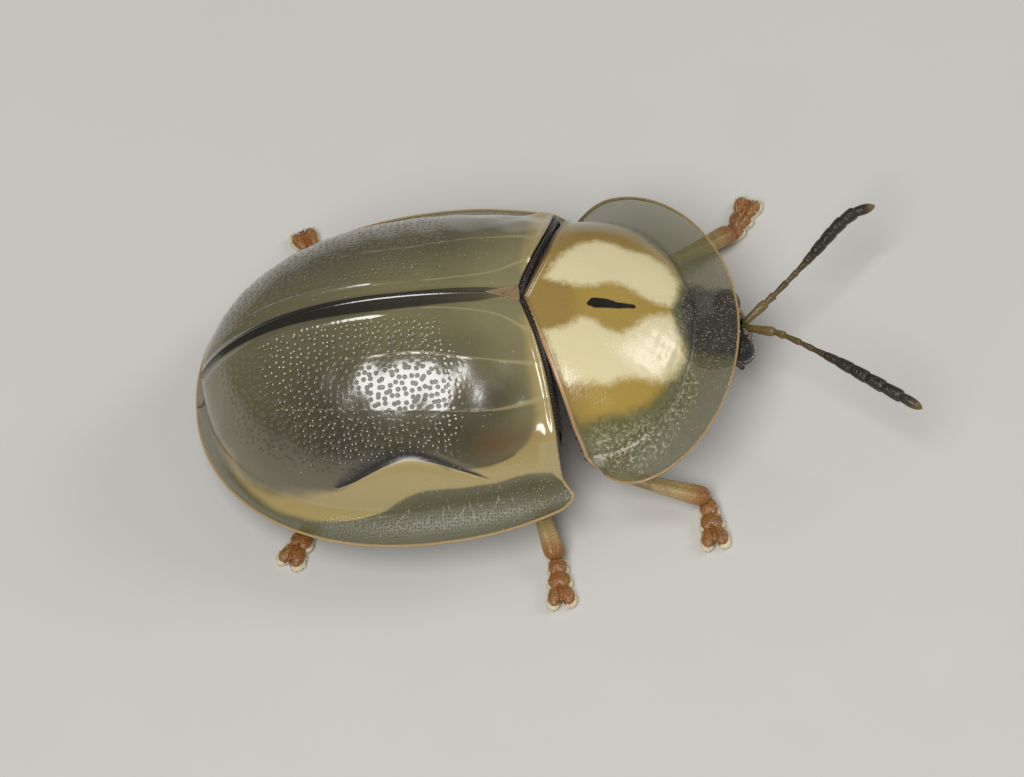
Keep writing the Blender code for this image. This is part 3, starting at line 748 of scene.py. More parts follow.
def makeWingFinish():
    f = wingFinish
    tree, shader, place, tone = startFinish("wingCaseTop", 700.0, 14000.0)
    disc = field(tree, "disc")
    light = plus(tree, field(tree, "light"), times(tree, minus(tree, tone, 0.5), 0.5), clamp=True)
    shade = blendColour(tree, light, colour(f["dark"]), colour(f["light"]))
    cream = useGroup(tree, brokenMask, {"Place": place, "Mask": field(tree, "cream"), "Grain": 2500.0,
                                        "Breakup": 0.12}).outputs["Mask"]
    margin = blendColour(tree, tone, colour(f["margin"]), colour(f["marginPale"]))
    shade = blendColour(tree, disc, margin, shade)
    shade = layer(tree, shade, cream, f["cream"], 0.85)
    veinMask = fadeOut(tree, field(tree, "vein"), 0.02, 0.08)
    shade = layer(tree, shade, veinMask, f["vein"], 0.55)
    shade = layer(tree, shade, field(tree, "rust"), f["rust"])
    foldPlace, foldReach = field(tree, "fold"), field(tree, "foldReach")
    # painted shadow of the body's edge under the clear shell, as a dark band above the fold
    foldShadow = fadeOut(tree, calc(tree, "DIVIDE", foldPlace, field(tree, "foldThickness")), 0.25, 1.35)
    foldShadow = times(tree, times(tree, foldShadow, fade(tree, foldPlace, -0.006, 0.012)), foldReach)
    shade = layer(tree, shade, foldShadow, f["foldShade"])
    foldTail = fadeOut(tree, field(tree, "foldTail"), 0.01, 0.06)
    shade = layer(tree, shade, foldTail, "4c3a22", 0.35)
    foldLine = fadeOut(tree, calc(tree, "ABSOLUTE", plus(tree, foldPlace, 0.014)), 0.004, 0.016)
    shade = layer(tree, shade, times(tree, foldLine, foldReach), "cbbd92", 0.5)
    # painted shade of the groove beside the seam, as a dark band
    band = useGroup(tree, brokenMask, {"Place": place, "Mask": field(tree, "seamBand"), "Grain": 5000.0,
                                       "Breakup": 0.08}).outputs["Mask"]
    shade = layer(tree, shade, times(tree, band, field(tree, "seamStrength")), f["band"])
    veinlet = fadeOut(tree, field(tree, "veinlet"), 0.0, 0.02)
    veinlet = times(tree, veinlet, fade(tree, tone, 0.35, 0.55))
    shade = layer(tree, shade, veinlet, "c9c4a0", 0.7)
    rimLine = fadeOut(tree, field(tree, "rim"), 0.025, 0.06)
    shade = layer(tree, shade, rimLine, f["rim"])
    baseEdge = fadeOut(tree, field(tree, "base"), 0.0, 0.03)
    shade = layer(tree, shade, baseEdge, "1c120c")
    pitPlace = addNode(tree, "ShaderNodeUVMap", uv_map="pitMap").outputs[0]
    pits = useGroup(tree, pitted, {"Place": pitPlace, "Spacing": f["pitSpacing"], "Width": 0.36,
                                   "Depth": f["pitDepth"], "Disorder": 0.68})
    fine = useGroup(tree, pitted, {"Place": pitPlace, "Spacing": 0.06, "Width": 0.3, "Depth": 0.008})
    pitMask = field(tree, "pits")
    pitShade = times(tree, times(tree, pits.outputs["Pit"], pitMask), 0.13)
    shade = layer(tree, shade, pitShade, "2c291e")
    # pale flecks, partly pale specks of the shell and partly painted glints
    fleck = useGroup(tree, flecks, {"Place": place, "Share": field(tree, "fleck"), "Spacing": 0.00005, "Size": 0.24})
    fleck = times(tree, fleck.outputs["Fleck"], inverse(tree, band))
    shade = layer(tree, shade, fleck, "e4d8ac", 0.55)
    connect(tree, shade, shader, "Base Color")
    height = plus(tree, times(tree, pits.outputs["Height"], pitMask),
                  times(tree, fine.outputs["Height"], field(tree, "finePits")))
    height = plus(tree, height, times(tree, tone, 0.006))
    addBump(tree, shader, height)
    rough = plus(tree, f["roughness"], times(tree, tone, 0.06))
    rough = plus(tree, rough, times(tree, inverse(tree, disc), 0.34))
    nearFold = fadeOut(tree, calc(tree, "ABSOLUTE", foldPlace), 0.05, 0.24)
    rough = plus(tree, rough, times(tree, times(tree, nearFold, foldReach), 0.26))
    pitFloor = times(tree, fade(tree, pits.outputs["Pit"], 0.5, 0.9), pitMask)
    rough = plus(tree, rough, times(tree, pitFloor, 0.45), clamp=True)
    connect(tree, rough, shader, "Roughness")
    connect(tree, plus(tree, 0.05, times(tree, disc, 0.55)), shader, "Coat Weight")
    setPlain(shader, IOR=1.78, Coat_Roughness=0.24)
    cover = plus(tree, f["marginCover"], times(tree, disc, 1 - f["marginCover"]))
    for extra, share in ((cream, 0.45), (rimLine, 0.4), (veinlet, 0.35), (baseEdge, 0.5), (fleck, 0.3)):
        cover = plus(tree, cover, times(tree, extra, share), clamp=True)
    shellClearness(tree, shader, cover)

    tree, shader, place, tone = startFinish("shellLining", 900.0, 9000.0)
    connect(tree, blendColour(tree, tone, colour("54452c"), colour("8c7850")), shader, "Base Color")
    setPlain(shader, Roughness=0.35)
    disc = field(tree, "disc")
    connect(tree, plus(tree, 0.12, times(tree, disc, 0.88)), shader, "Alpha")


makeWingFinish()
for sideName, side in (("left", 1), ("right", -1)):
    case = finishPiece(makeWingCase(side), "wingCase_" + sideName, [], ["elytron_" + sideName],
                       sharpAngle=70)
    print("wing case", sideName, "has", len(case.data.polygons), "faces")


# Neck shield

neckShield = {
    "turn": 2.0, "pivotX": 0.2, "backX": 0.15, "widestX": 1.75, "halfWidth": 3.13, "reach": 2.12,
    "corner": (1.06, 2.71), "power": 1.9, "discCorner": (0.99, 2.5), "discWidest": (1.35, 2.48),
    "discFrontX": 3.05, "top": 3.45, "cornerHeight": 1.62, "frontHeight": 2.2, "discLift": 0.22,
    "domePowers": (3.2, 0.75), "backShare": 0.3, "discShare": 0.74, "wall": 0.07,
    "backSway": [(-1, 0), (-0.85, -0.08), (-0.66, -0.2), (-0.45, -0.17), (-0.2, -0.12), (0, -0.07), (0.12, 0.0),
                 (0.3, 0.1), (0.6, 0.1), (0.8, 0.0), (1, 0)],
    "facesAcross": 200, "facesAlong": 130,
}

# Outlines of the markings, as x and y in millimetres
farIvory = [(0.50, 0.42), (0.62, 0.68), (0.87, 1.02), (1.19, 1.31), (1.44, 1.37), (1.73, 1.34), (2.01, 1.22),
            (2.35, 1.2), (2.63, 1.0), (2.85, 0.66), (2.79, 0.25), (2.68, 0.05), (2.39, 0.07), (2.16, 0.19),
            (1.93, 0.34), (1.65, 0.38), (1.35, 0.28), (1.1, 0.25), (0.87, 0.3), (0.62, 0.34)]
nearIvory = [(0.42, -0.72), (0.82, -0.63), (1.08, -0.42), (1.32, -0.45), (1.5, -0.61), (1.78, -0.69), (2.04, -0.48),
             (2.24, -0.26), (2.67, -0.1), (2.75, -0.43), (2.84, -0.73), (2.88, -0.95), (2.69, -1.26),
             (2.45, -1.47), (2.2, -1.52), (1.96, -1.5), (1.72, -1.57), (1.47, -1.68), (1.23, -1.65),
             (1.03, -1.67), (0.72, -1.64), (0.6, -1.3), (0.48, -1.0)]
discPatch = [(0.1, 0.0), (0.3, 0.6), (0.6, 1.4), (0.85, 2.1), (1.05, 2.24), (1.53, 2.16), (1.88, 1.99), (2.26, 1.74),
             (2.58, 1.45), (2.86, 1.08), (2.93, 0.75), (2.8, 0.3), (2.7, 0.0), (2.78, -0.4), (2.88, -0.9),
             (2.69, -1.26), (2.37, -1.71), (2.15, -1.92), (1.8, -2.09), (1.3, -2.16), (0.9, -2.22),
             (0.6, -1.9), (0.4, -1.3), (0.2, -0.6)]
midMark = [((1.27, -0.12), 0.055), ((1.36, -0.09), 0.11), ((1.55, -0.08), 0.1), ((1.75, -0.1), 0.07),
           ((1.9, -0.085), 0.05), ((2.02, -0.08), 0.045)]
headPatch = [(2.80, 0.13), (2.90, 0.455), (3.025, 0.777), (3.29, 0.72), (3.555, 0.65), (3.82, 0.55), (3.95, 0.14),
             (3.92, -0.39), (3.85, -0.85), (3.5, -0.84), (3.2, -0.80), (2.98, -0.655), (2.87, -0.49), (2.82, -0.2)]
# a zone of the near margin painted with a whitish highlight, where the key light catches the crinkled surface
crinkleHighlightEdge = [(1.15, -2.2), (1.1, -2.46), (1.39, -2.75), (1.89, -2.86), (2.36, -2.6), (2.67, -2.2), (2.95, -1.74),
                (3.12, -1.2), (2.95, -1.0), (2.7, -1.5), (2.3, -2.0), (1.6, -2.2)]


def turned(x, y):
    n = neckShield
    a = np.radians(n["turn"])
    dx = x - n["pivotX"]
    return n["pivotX"] + dx * np.cos(a) - y * np.sin(a), dx * np.sin(a) + y * np.cos(a)


def shieldRimHeight(x):
    n = neckShield
    share = (x - n["corner"][0]) / (n["widestX"] + n["reach"] - n["corner"][0])
    return mix(n["cornerHeight"], n["frontHeight"], share)


def shieldHeight(x, y):
    n = neckShield
    widestX, widest = n["discWidest"]
    back = np.clip((widestX - x) / (widestX - n["discCorner"][0]), 0, 1)
    front = np.clip((x - widestX) / (n["discFrontX"] - widestX), 0, 1)
    half = np.where(x < widestX, widest - (widest - n["discCorner"][1]) * back ** 2,
                    widest * (1 - front ** n["power"]) ** (1 / n["power"]))
    inner, outer = n["domePowers"]
    edge = shieldRimHeight(x) + n["discLift"]
    middle = n["top"] - 0.155 * np.maximum(x, 0) ** 1.7
    share = np.clip(np.abs(y) / np.maximum(half, 1e-6), 0, 1)
    return edge + np.maximum(middle - edge, 0) * (1 - share ** inner) ** outer


def shieldPoint(across, v):
    # a point of the neck shield. across is 0 at its right rim and 1 at its left one; v is 0 at the back
    n = neckShield
    u = across * 2 - 1
    side, w = np.sign(u), np.abs(u)
    b = np.clip(v / n["backShare"], 0, 1)
    angle = np.clip((v - n["backShare"]) / (1 - n["backShare"]), 0, 1) * np.pi / 2
    along = np.sin(angle) ** (2 / n["power"])
    narrow = np.maximum(np.cos(angle), 0) ** (2 / n["power"])
    back = v < n["backShare"]
    bulge = (1 - b) ** 2
    midX = np.where(back, mix(n["backX"], 1.0, b), mix(1.0, n["discFrontX"], along))
    discX = np.where(back, mix(n["discCorner"][0], n["discWidest"][0], b),
                     mix(n["discWidest"][0], n["discFrontX"], along))
    discY = np.where(back, mix(n["discWidest"][1], n["discCorner"][1], bulge), n["discWidest"][1] * narrow)
    rimX = np.where(back, mix(n["corner"][0], n["widestX"], b), n["widestX"] + n["reach"] * along)
    rimY = np.where(back, mix(n["halfWidth"], n["corner"][1], bulge), n["halfWidth"] * narrow)
    q = np.clip(w / n["discShare"], 0, 1)
    r = np.clip((w - n["discShare"]) / (1 - n["discShare"]), 0, 1)
    onDisc = w <= n["discShare"]
    x = np.where(onDisc, mix(midX, discX, q), mix(discX, rimX, r))
    y = np.where(onDisc, discY * q, mix(discY, rimY, r))
    z = np.where(onDisc, shieldHeight(x, y), shieldRimHeight(x) + n["discLift"] * (1 - r) ** 1.4)
    sway = np.interp(u, [p[0] for p in n["backSway"]], [p[1] for p in n["backSway"]])
    x = x + sway * bulge + 0.1 * softStep(w, 0.88, 1.0) ** 2 * (1 - softStep(v, 0.0, 0.07))
    x, y = turned(x, y * side)
    return np.stack([x, y, z], -1)


def markDistance(x, y, stops):
    # distance to a mark that tapers from stop to stop, and below 0 inside it
    nearest = np.full(len(x), 1e9)
    for ((ax, ay), ra), ((bx, by), rb) in zip(stops, stops[1:]):
        ex, ey = bx - ax, by - ay
        t = np.clip(((x - ax) * ex + (y - ay) * ey) / (ex * ex + ey * ey), 0, 1)
        nearest = np.minimum(nearest, np.hypot(x - ax - t * ex, y - ay - t * ey) - mix(ra, rb, t))
    return nearest


def makeNeckShield():
    n = neckShield
    grid, u, v = flatGrid(n["facesAcross"], n["facesAlong"])
    points = shieldPoint(u, v)
    w = np.abs(u * 2 - 1)
    x, y = points[:, 0].copy(), points[:, 1].copy()
    fields = {"ivory": np.maximum(insideDistance(x, y, farIvory), insideDistance(x, y, nearIvory)),
              "ochre": insideDistance(x, y, discPatch), "mark": markDistance(x, y, midMark)}
    steps = np.linspace(0, 1, 60)
    back, right, left = (lineDistance(points, shieldPoint, line, 400)[0] for line in (
        [(step, 0.0) for step in steps], [(0.0, step) for step in steps], [(1.0, step) for step in steps]))
    outer = np.minimum(right, left)
    fields["back"], fields["rim"] = back, outer
    fields["disc"] = 1 - softStep(w, n["discShare"] - 0.03, n["discShare"] + 0.04)
    fields["head"] = insideDistance(x, y, headPatch)
    # painted highlight: the whitish crinkled zone of the near margin
    crinkled = softStep(insideDistance(x, y, crinkleHighlightEdge), -0.15, 0.2)
    fields["crinkled"] = crinkled
    # where pale flecks lie thicker: partly pale specks of the shield and partly painted glints
    nearSide = 1 - softStep(y, -1.2, 0.4)
    clear = softStep(w, n["discShare"] - 0.08, n["discShare"])
    fields["fleck"] = np.clip(0.55 * crinkled + clear * (0.06 + 0.14 * nearSide)
                              + 0.6 * softStep(fields["head"], -0.1, 0.2) + 0.25 * softStep(x, 2.3, 2.8)
                              * (1 - softStep(np.abs(y), 0.9, 1.6)), 0, 0.7)
    height = 0.045 * np.exp(-((back - 0.05) / 0.04) ** 2) * (1 - softStep(w, 0.8, 0.95))
    height += 0.02 * np.exp(-((outer - 0.03) / 0.03) ** 2)
    height -= 0.03 * np.exp(-((w - n["discShare"] - 0.02) / 0.04) ** 2) * softStep(v, 0.1, 0.3)
    crumple = np.sin(19 * x + 4 * y) * np.sin(16 * y - 6 * x + 1) + np.sin(31 * x - 9 * y) * 0.5
    height += 0.007 * crumple * spot(x, y, (2.5, -1.2), (0.4, 0.6))
    height += 0.008 * np.sin(4.2 * x + 1.1) * np.sin(5.1 * y) * fields["disc"]
    points = points + surfaceNormals(shieldPoint, u, v) * height[:, None]
    return shellFrom(grid, points, fields, n["wall"], "neckShieldTop")


shieldFinish = {
    "ivory": "e9dcae", "ochre": "ad9040", "ochreFar": "7c611e", "lobe": "9a7f40", "mark": "120a05",
    "margin": "5f5d36", "marginPale": "7c7a50", "rim": "b08d58", "head": "2b2820", "marginCover": 0.6,
    "roughness": 0.1,
}


def makeShieldFinish():
    f = shieldFinish
    tree, shader, place, tone = startFinish("neckShieldTop", 800.0, 12000.0)
    grit = addNode(tree, "ShaderNodeTexVoronoi", {"Vector": place, "Scale": 17000.0, "Randomness": 1.0})
    speck = fadeOut(tree, grit.outputs["Distance"], 0.12, 0.34)
    noise = addNode(tree, "ShaderNodeTexNoise", {"Vector": place, "Scale": 9000.0, "Detail": 4.0, "Roughness": 0.7})
    push = times(tree, minus(tree, noise.outputs[0], 0.5), 0.2)
    ivoryPlace = plus(tree, field(tree, "ivory"), push)
    ivoryMask = fade(tree, ivoryPlace, -0.09, 0.11)
    ochreMask = fade(tree, plus(tree, field(tree, "ochre"), times(tree, push, 0.8)), -0.06, 0.14)
    margin = blendColour(tree, tone, colour(f["margin"]), colour(f["marginPale"]))
    sides = addNode(tree, "ShaderNodeSeparateXYZ", {0: place})
    farSide = fade(tree, sides.outputs["Y"], 0.0006, 0.0022)
    ochre = blendColour(tree, farSide, colour(f["ochre"]), colour(f["ochreFar"]))
    lobe = fadeOut(tree, sides.outputs["X"], 0.0003, 0.0007)
    ochre = blendColour(tree, lobe, ochre, colour(f["lobe"]))
    ochre = blendColour(tree, times(tree, tone, 0.35), ochre, colour("c0a25c"))
    shade = blendColour(tree, ochreMask, margin, ochre)
    shade = layer(tree, shade, ivoryMask, f["ivory"])
    nearEdge = fadeOut(tree, calc(tree, "ABSOLUTE", field(tree, "ivory")), 0.02, 0.24)
    shade = layer(tree, shade, times(tree, speck, nearEdge), "4a3a1c", 0.22)
    headPlace = field(tree, "head")
    headMask = fade(tree, plus(tree, headPlace, times(tree, push, 2.2)), -0.12, 0.14)
    shade = layer(tree, shade, headMask, f["head"], 0.88)
    mark = fadeOut(tree, plus(tree, field(tree, "mark"), times(tree, push, 0.12)), -0.012, 0.014)
    shade = layer(tree, shade, mark, f["mark"])
    rimLine = fadeOut(tree, field(tree, "rim"), 0.02, 0.055)
    backLine = fadeOut(tree, field(tree, "back"), 0.05, 0.09)
    shade = layer(tree, shade, rimLine, f["rim"])
    # the back rim bead is painted lighter on the near side as a painted highlight, and darker on the far side as
    # painted shade
    backRimLitAndShaded = blendColour(tree, fade(tree, sides.outputs["Y"], -0.0008, 0.0004), colour("c49a70"), colour("5e4220"))
    shade = blendColour(tree, times(tree, backLine, 0.8), shade, backRimLitAndShaded)
    backEdge = fadeOut(tree, field(tree, "back"), 0.0, 0.02)
    shade = layer(tree, shade, backEdge, "1a0e08")
    # pale flecks, partly pale specks and partly painted glints, thickest in the crinkled zone and over the head
    fleck = useGroup(tree, flecks, {"Place": place, "Share": field(tree, "fleck"), "Spacing": 0.00005, "Size": 0.24})
    fleck = fleck.outputs["Fleck"]
    wrinkle = addNode(tree, "ShaderNodeTexNoise", {"Vector": place, "Scale": 15000.0, "Detail": 4.0,
                                                   "Roughness": 0.65})
    # painted highlight: whitish crinkles where the key light catches the near margin
    crinkled = times(tree, field(tree, "crinkled"), fade(tree, wrinkle.outputs[0], 0.45, 0.68))
    shade = layer(tree, shade, crinkled, "d8d6b4", 0.65)
    shade = layer(tree, shade, fleck, "efe9d2", 0.36)
    connect(tree, shade, shader, "Base Color")
    clear = inverse(tree, field(tree, "disc"))
    height = times(tree, wrinkle.outputs[0], plus(tree, 0.006, times(tree, clear, 0.03)))
    fine = useGroup(tree, pitted, {"Place": place, "Spacing": 0.000085, "Width": 0.34, "Depth": 0.009,
                                   "Disorder": 0.9})
    grained = plus(tree, 0.12, times(tree, calc(tree, "MAXIMUM", clear, headMask), 0.88))
    height = plus(tree, height, times(tree, fine.outputs["Height"], grained))
    addBump(tree, shader, height)
    connect(tree, plus(tree, f["roughness"], times(tree, tone, 0.12)), shader, "Roughness")
    setPlain(shader, IOR=1.6, Coat_Weight=0.6, Coat_Roughness=0.2)
    cover = calc(tree, "MAXIMUM", f["marginCover"], ochreMask)
    for extra, share in ((rimLine, 0.4), (backLine, 0.6), (headMask, 0.25), (fleck, 0.3), (crinkled, 0.2),
                         (field(tree, "disc"), 0.35)):
        cover = plus(tree, cover, times(tree, extra, share), clamp=True)
    shellClearness(tree, shader, cover)


makeShieldFinish()
shield = makeNeckShield()
finishPiece(shield, "neckShield", [], ["pronotum"], sharpAngle=70)
print("neck shield has", len(shield.data.polygons), "faces")


# Round forms, each turned up from a ring by extruding it along z and scaling it

def turnedUp(stations, sides=14):
    # stations hold (height, radius). The form stands on z, from the first height to the last
    form = startFrom(bpy.ops.mesh.primitive_circle_add, vertices=sides, radius=stations[0][1], fill_type="NGON",
                     location=(0, 0, stations[0][0]))
    bpy.ops.object.transform_apply(location=True, rotation=False, scale=False)
    editAll(form)
    for (low, narrow), (high, wide) in zip(stations, stations[1:]):
        bpy.ops.mesh.extrude_region_move(TRANSFORM_OT_translate={"value": (0, 0, high - low)})
        bpy.ops.transform.resize(value=(wide / narrow, wide / narrow, 1), center_override=(0, 0, high))
    bpy.ops.mesh.select_all(action="SELECT")
    bpy.ops.mesh.normals_make_consistent(inside=False)
    leaveEdit()
    return form


def placeAlong(form, start, end, width, height=None, top=(0, 0, 1), name=None):
    # a copy of a form that stands on z with length 1, laid from start to end
    start, end = Vector(start), Vector(end)
    axis = (end - start).normalized()
    side = axis.cross(Vector(top)).normalized()
    upward = side.cross(axis)
    turn = Matrix((side * width, upward * (height or width), end - start)).transposed().to_4x4()
    twin = copyOf(form, name or form.name)
    twin.data.transform(Matrix.Translation(start) @ turn)
    return twin


def headPoint(x, y, z, turn=9.0, pivotX=2.9):
    # a point of the head, which is turned a little further than the neck shield
    a = math.radians(turn)
    dx = x - pivotX
    hx, hy = turned(pivotX + dx * math.cos(a) - y * math.sin(a), dx * math.sin(a) + y * math.cos(a))
    return Vector((hx, hy, z))


def hairs(name, roots, directions, length, radius, material, bend=0.25, sides=3):
    # short bristles in one mesh. Each is a bent cone, and all its faces lie in a small patch of OFBake
    roots, directions = np.asarray(roots), np.asarray(directions)
    count = len(roots)
    lengths = length * chance.uniform(0.7, 1.25, count)
    stops = ((0.0, 1.0), (0.5, 0.75), (1.0, 0.12))
    ring = np.array([(math.cos(2 * math.pi * i / sides), math.sin(2 * math.pi * i / sides)) for i in range(sides)])
    vertices, faces, places = [], [], []
    for i in range(count):
        axis = directions[i] / max(np.linalg.norm(directions[i]), 1e-9)
        side = np.cross(axis, (0.3, 0.1, 1.0) if abs(axis[2]) < 0.95 else (1.0, 0, 0))
        side /= np.linalg.norm(side)
        upward = np.cross(side, axis)
        swing = chance.uniform(-1, 1) * side + chance.uniform(-1, 1) * upward
        first = len(vertices)
        for along, share in stops:
            middle = roots[i] + axis * lengths[i] * along + swing * bend * lengths[i] * along ** 2
            for a, b in ring:
                vertices.append(middle + (side * a + upward * b) * radius * share)
                places.append((i, a, b, along))
        for level in range(len(stops) - 1):
            for k in range(sides):
                a, b = first + level * sides + k, first + level * sides + (k + 1) % sides
                faces.append((a, b, b + sides, a + sides))
        faces.append(tuple(first + k for k in range(sides))[::-1])
        faces.append(tuple(first + (len(stops) - 1) * sides + k for k in range(sides)))
    obj = meshPiece(name, vertices, faces)
    low, high = roots.min(axis=0), roots.max(axis=0)
    spread = (roots - low) / np.maximum(high - low, 1e-6)
    places = np.array(places)
    owner = places[:, 0].astype(int)
    first = 0.01 + 0.97 * spread[owner, 0] + 0.0012 * places[:, 1]
    second = 0.01 + 0.97 * spread[owner, 1] + 0.0012 * places[:, 2]
    writeUv(obj, "OFBake", first, second)
    storeField(obj, "tip", places[:, 3])
    return finishPiece(obj, name, [material], sharpAngle=80)


# Plain horn, with a mottled tone, fine wrinkles and a redness that each point carries

def makeHornFinish(name, pale, red, dark, roughness, grain=9000.0, relief=0.006, coat=0.2):
    tree, shader, place, tone = startFinish(name, 2500.0, grain)
    redness = plus(tree, field(tree, "redness"), times(tree, minus(tree, tone, 0.5), 0.7), clamp=True)
    shade = blendColour(tree, redness, colour(pale), colour(red))
    deep = fadeOut(tree, tone, 0.3, 0.55)
    shade = layer(tree, shade, deep, dark, 0.5)
    connect(tree, shade, shader, "Base Color")
    connect(tree, plus(tree, roughness, times(tree, tone, 0.2)), shader, "Roughness")
    cells = addNode(tree, "ShaderNodeTexVoronoi", {"Vector": place, "Scale": grain * 1.6}, feature="F1")
    height = times(tree, plus(tree, tone, cells.outputs["Distance"]), relief)
    addBump(tree, shader, height)
    setPlain(shader, Coat_Weight=coat, Coat_Roughness=0.2)


def makeFeltFinish(name, root, tip):
    tree, shader, _, tone = startFinish(name, 6000.0, 30000.0)
    share = plus(tree, field(tree, "tip"), minus(tree, tone, 0.5), clamp=True)
    connect(tree, blendColour(tree, share, colour(root), colour(tip)), shader, "Base Color")
    setPlain(shader, Roughness=0.6, Sheen_Weight=0.3)


makeHornFinish("legHorn", "b59c66", "90561f", "5a3012", 0.28, grain=14000.0, relief=0.014, coat=0.3)
makeHornFinish("antennaHorn", "7c6733", "2b241a", "120f0b", 0.3, grain=16000.0, relief=0.016, coat=0.3)
makeHornFinish("headHorn", "7a4a26", "14110e", "060505", 0.25, grain=12000.0, relief=0.01, coat=0.4)
makeHornFinish("bodyHorn", "50331c", "140d08", "080503", 0.34, grain=5000.0, relief=0.01)
makeHornFinish("clawHorn", "9a5a2a", "4a220e", "2a1208", 0.2, grain=12000.0, relief=0.003)
makeFeltFinish("padFelt", "bcae84", "e6dfc0")
makeFeltFinish("goldBristle", "a98245", "ecd9ac")


# Legs

legJoints = {
    "front_right": ((1.75, -0.8, 0.72), (1.35, -2.17, 0.82), (2.97, -2.56, 0.33), (3.08, -3.52, 0.12)),
    "middle_right": ((-0.3, -0.85, 0.72), (-0.1, -2.2, 0.84), (0.21, -3.5, 0.33), (0.26, -4.47, 0.12)),
    "hind_right": ((-1.5, -0.8, 0.72), (-2.95, -1.5, 0.86), (-4.12, -2.15, 0.34), (-4.67, -3.05, 0.12)),
    "front_left": ((1.75, 0.85, 0.72), (2.35, 2.2, 0.82), (3.75, 3.2, 0.33), (4.16, 4.1, 0.12)),
    "middle_left": ((-0.3, 0.85, 0.72), (-0.1, 2.15, 0.84), (0.1, 3.05, 0.33), (0.15, 4.0, 0.12)),
    "hind_left": ((-1.5, 0.8, 0.72), (-2.75, 1.95, 0.86), (-3.75, 3.35, 0.34), (-4.2, 4.4, 0.12)),
}
legSizes = {
    "coxa": (0.36, 0.3, 0.42), "femurWidth": 0.25, "tibiaWidth": 0.175, "tibiaHeight": 0.13,
    "coxaLift": 0.16, "overlap": 0.1,
    "lobePlaces": ((0.1, 0.2), (0.38, 0.165)),      # share of the foot's length, and height
    "lobeWidths": (0.36, 0.44, 0.27), "lobeLengths": (0.44, 0.46, 0.46), "lobeHeight": 0.15,
    "padHeight": 0.15, "toeSpread": 0.115,
    "bristles": 420, "bristleLength": 0.075, "bristleRadius": 0.0065,
    "fringe": 420, "fringeLength": 0.045, "fringeRadius": 0.007,
}


def shapedBall(rule, segments=24, rings=14):
    # a ball whose points are moved by a rule, which takes and returns arrays of x, y and z
    ball = startFrom(bpy.ops.mesh.primitive_uv_sphere_add, segments=segments, ring_count=rings, radius=1)
    x, y, z = readPoints(ball).T
    writePoints(ball, np.stack(rule(z, y, -x), -1))
    return ball


def ballAt(centre, sizes, segments=32, rings=20):
    return shapedBall(lambda a, b, c: (centre[0] + a * sizes[0], centre[1] + b * sizes[1], centre[2] + c * sizes[2]),
                      segments, rings)


def makeLegForms():
    # models each kind of leg part once: length 1 along z, or a lobe lying along x
    femur = turnedUp([(0.0, 0.3), (0.02, 0.5), (0.07, 0.68), (0.18, 0.86), (0.36, 1.0), (0.55, 1.02), (0.74, 0.88),
                      (0.88, 0.72), (0.96, 0.6), (0.99, 0.42), (1.0, 0.2)], 18)
    tibia = turnedUp([(0.0, 0.35), (0.015, 0.55), (0.05, 0.68), (0.12, 0.66), (0.3, 0.74), (0.5, 0.85), (0.7, 0.98),
                      (0.84, 1.1), (0.91, 1.12), (0.955, 1.0), (0.985, 0.72), (1.0, 0.3)], 20)
    x, y, z = readPoints(tibia).T
    angle = np.arctan2(y, x)
    ridge = 1 + 0.16 * np.exp(-((angle - 1.2) / 0.3) ** 2) + 0.1 * np.exp(-((angle - 2.5) / 0.3) ** 2) \
        - 0.14 * np.exp(-((angle - 1.85) / 0.35) ** 2)
    ridge = 1 + (ridge - 1) * softStep(z, 0.08, 0.3)
    writePoints(tibia, np.stack([x * ridge + 0.25 * np.sin(np.pi * z) * 0.35, y * ridge, z], -1))

    def lobe(a, b, c):
        grow = mix(0.55, 1.0, softStep(a, -1.0, 0.5))
        notch = 0.3 * np.exp(-(b / 0.3) ** 2) * softStep(a, 0.1, 1.0)
        return a - notch, b * grow, np.maximum(c, -0.55) * mix(0.75, 1.0, softStep(a, -1.0, 0.2))

    def toe(a, b, c):
        return a, b * mix(0.6, 1.0, softStep(a, -1.0, 0.6)), np.maximum(c, -0.6)

    lobeForm = shapedBall(lobe)
    toeForm = shapedBall(toe)
    claw = turnedUp([(0.0, 0.8), (0.15, 1.0), (0.35, 0.85), (0.6, 0.6), (0.82, 0.35), (1.0, 0.08)], 10)
    x, y, z = readPoints(claw).T
    writePoints(claw, np.stack([x, y - 1.6 * (z ** 2), z], -1))
    forms = {"femur": femur, "tibia": tibia, "lobe": lobeForm, "toe": toeForm, "claw": claw}
    for name, form in forms.items():
        form.name = "form_" + name
        addModifier(form, "smooth", "SUBSURF", levels=1, render_levels=1)
        applyAll(form)
    return forms


def placeLobe(form, centre, along, sizes, name):
    # a copy of a lobe that lies level, with its length along a direction
    along = Vector(along).normalized()
    across = Vector((-along.y, along.x, 0))
    turn = Matrix((along * sizes[0] / 2, across * sizes[1] / 2, Vector((0, 0, sizes[2] / 2)))).transposed().to_4x4()
    twin = copyOf(form, name)
    twin.data.transform(Matrix.Translation(Vector(centre)) @ turn)
    return twin


def setField(obj, name, value):
    storeField(obj, name, np.full(len(obj.data.vertices), value) if np.isscalar(value) else value)


def surfacePlaces(obj, count, keep=None):
    # random places on a piece, with the directions that its surface faces there
    mesh = obj.data
    faces = [face for face in mesh.polygons if keep is None or keep(face)]
    areas = np.array([face.area for face in faces])
    picks = chance.choice(len(faces), count, p=areas / areas.sum())
    roots, directions = [], []
    for pick in picks:
        corners = [mesh.vertices[i].co for i in faces[pick].vertices]
        weights = chance.dirichlet(np.ones(len(corners)))
        roots.append(sum((np.array(c) * w for c, w in zip(corners, weights)), np.zeros(3)))
        directions.append(np.array(faces[pick].normal))
    return np.array(roots), np.array(directions)


def reddened(part, redness):
    setField(part, "redness", redness)
    return part


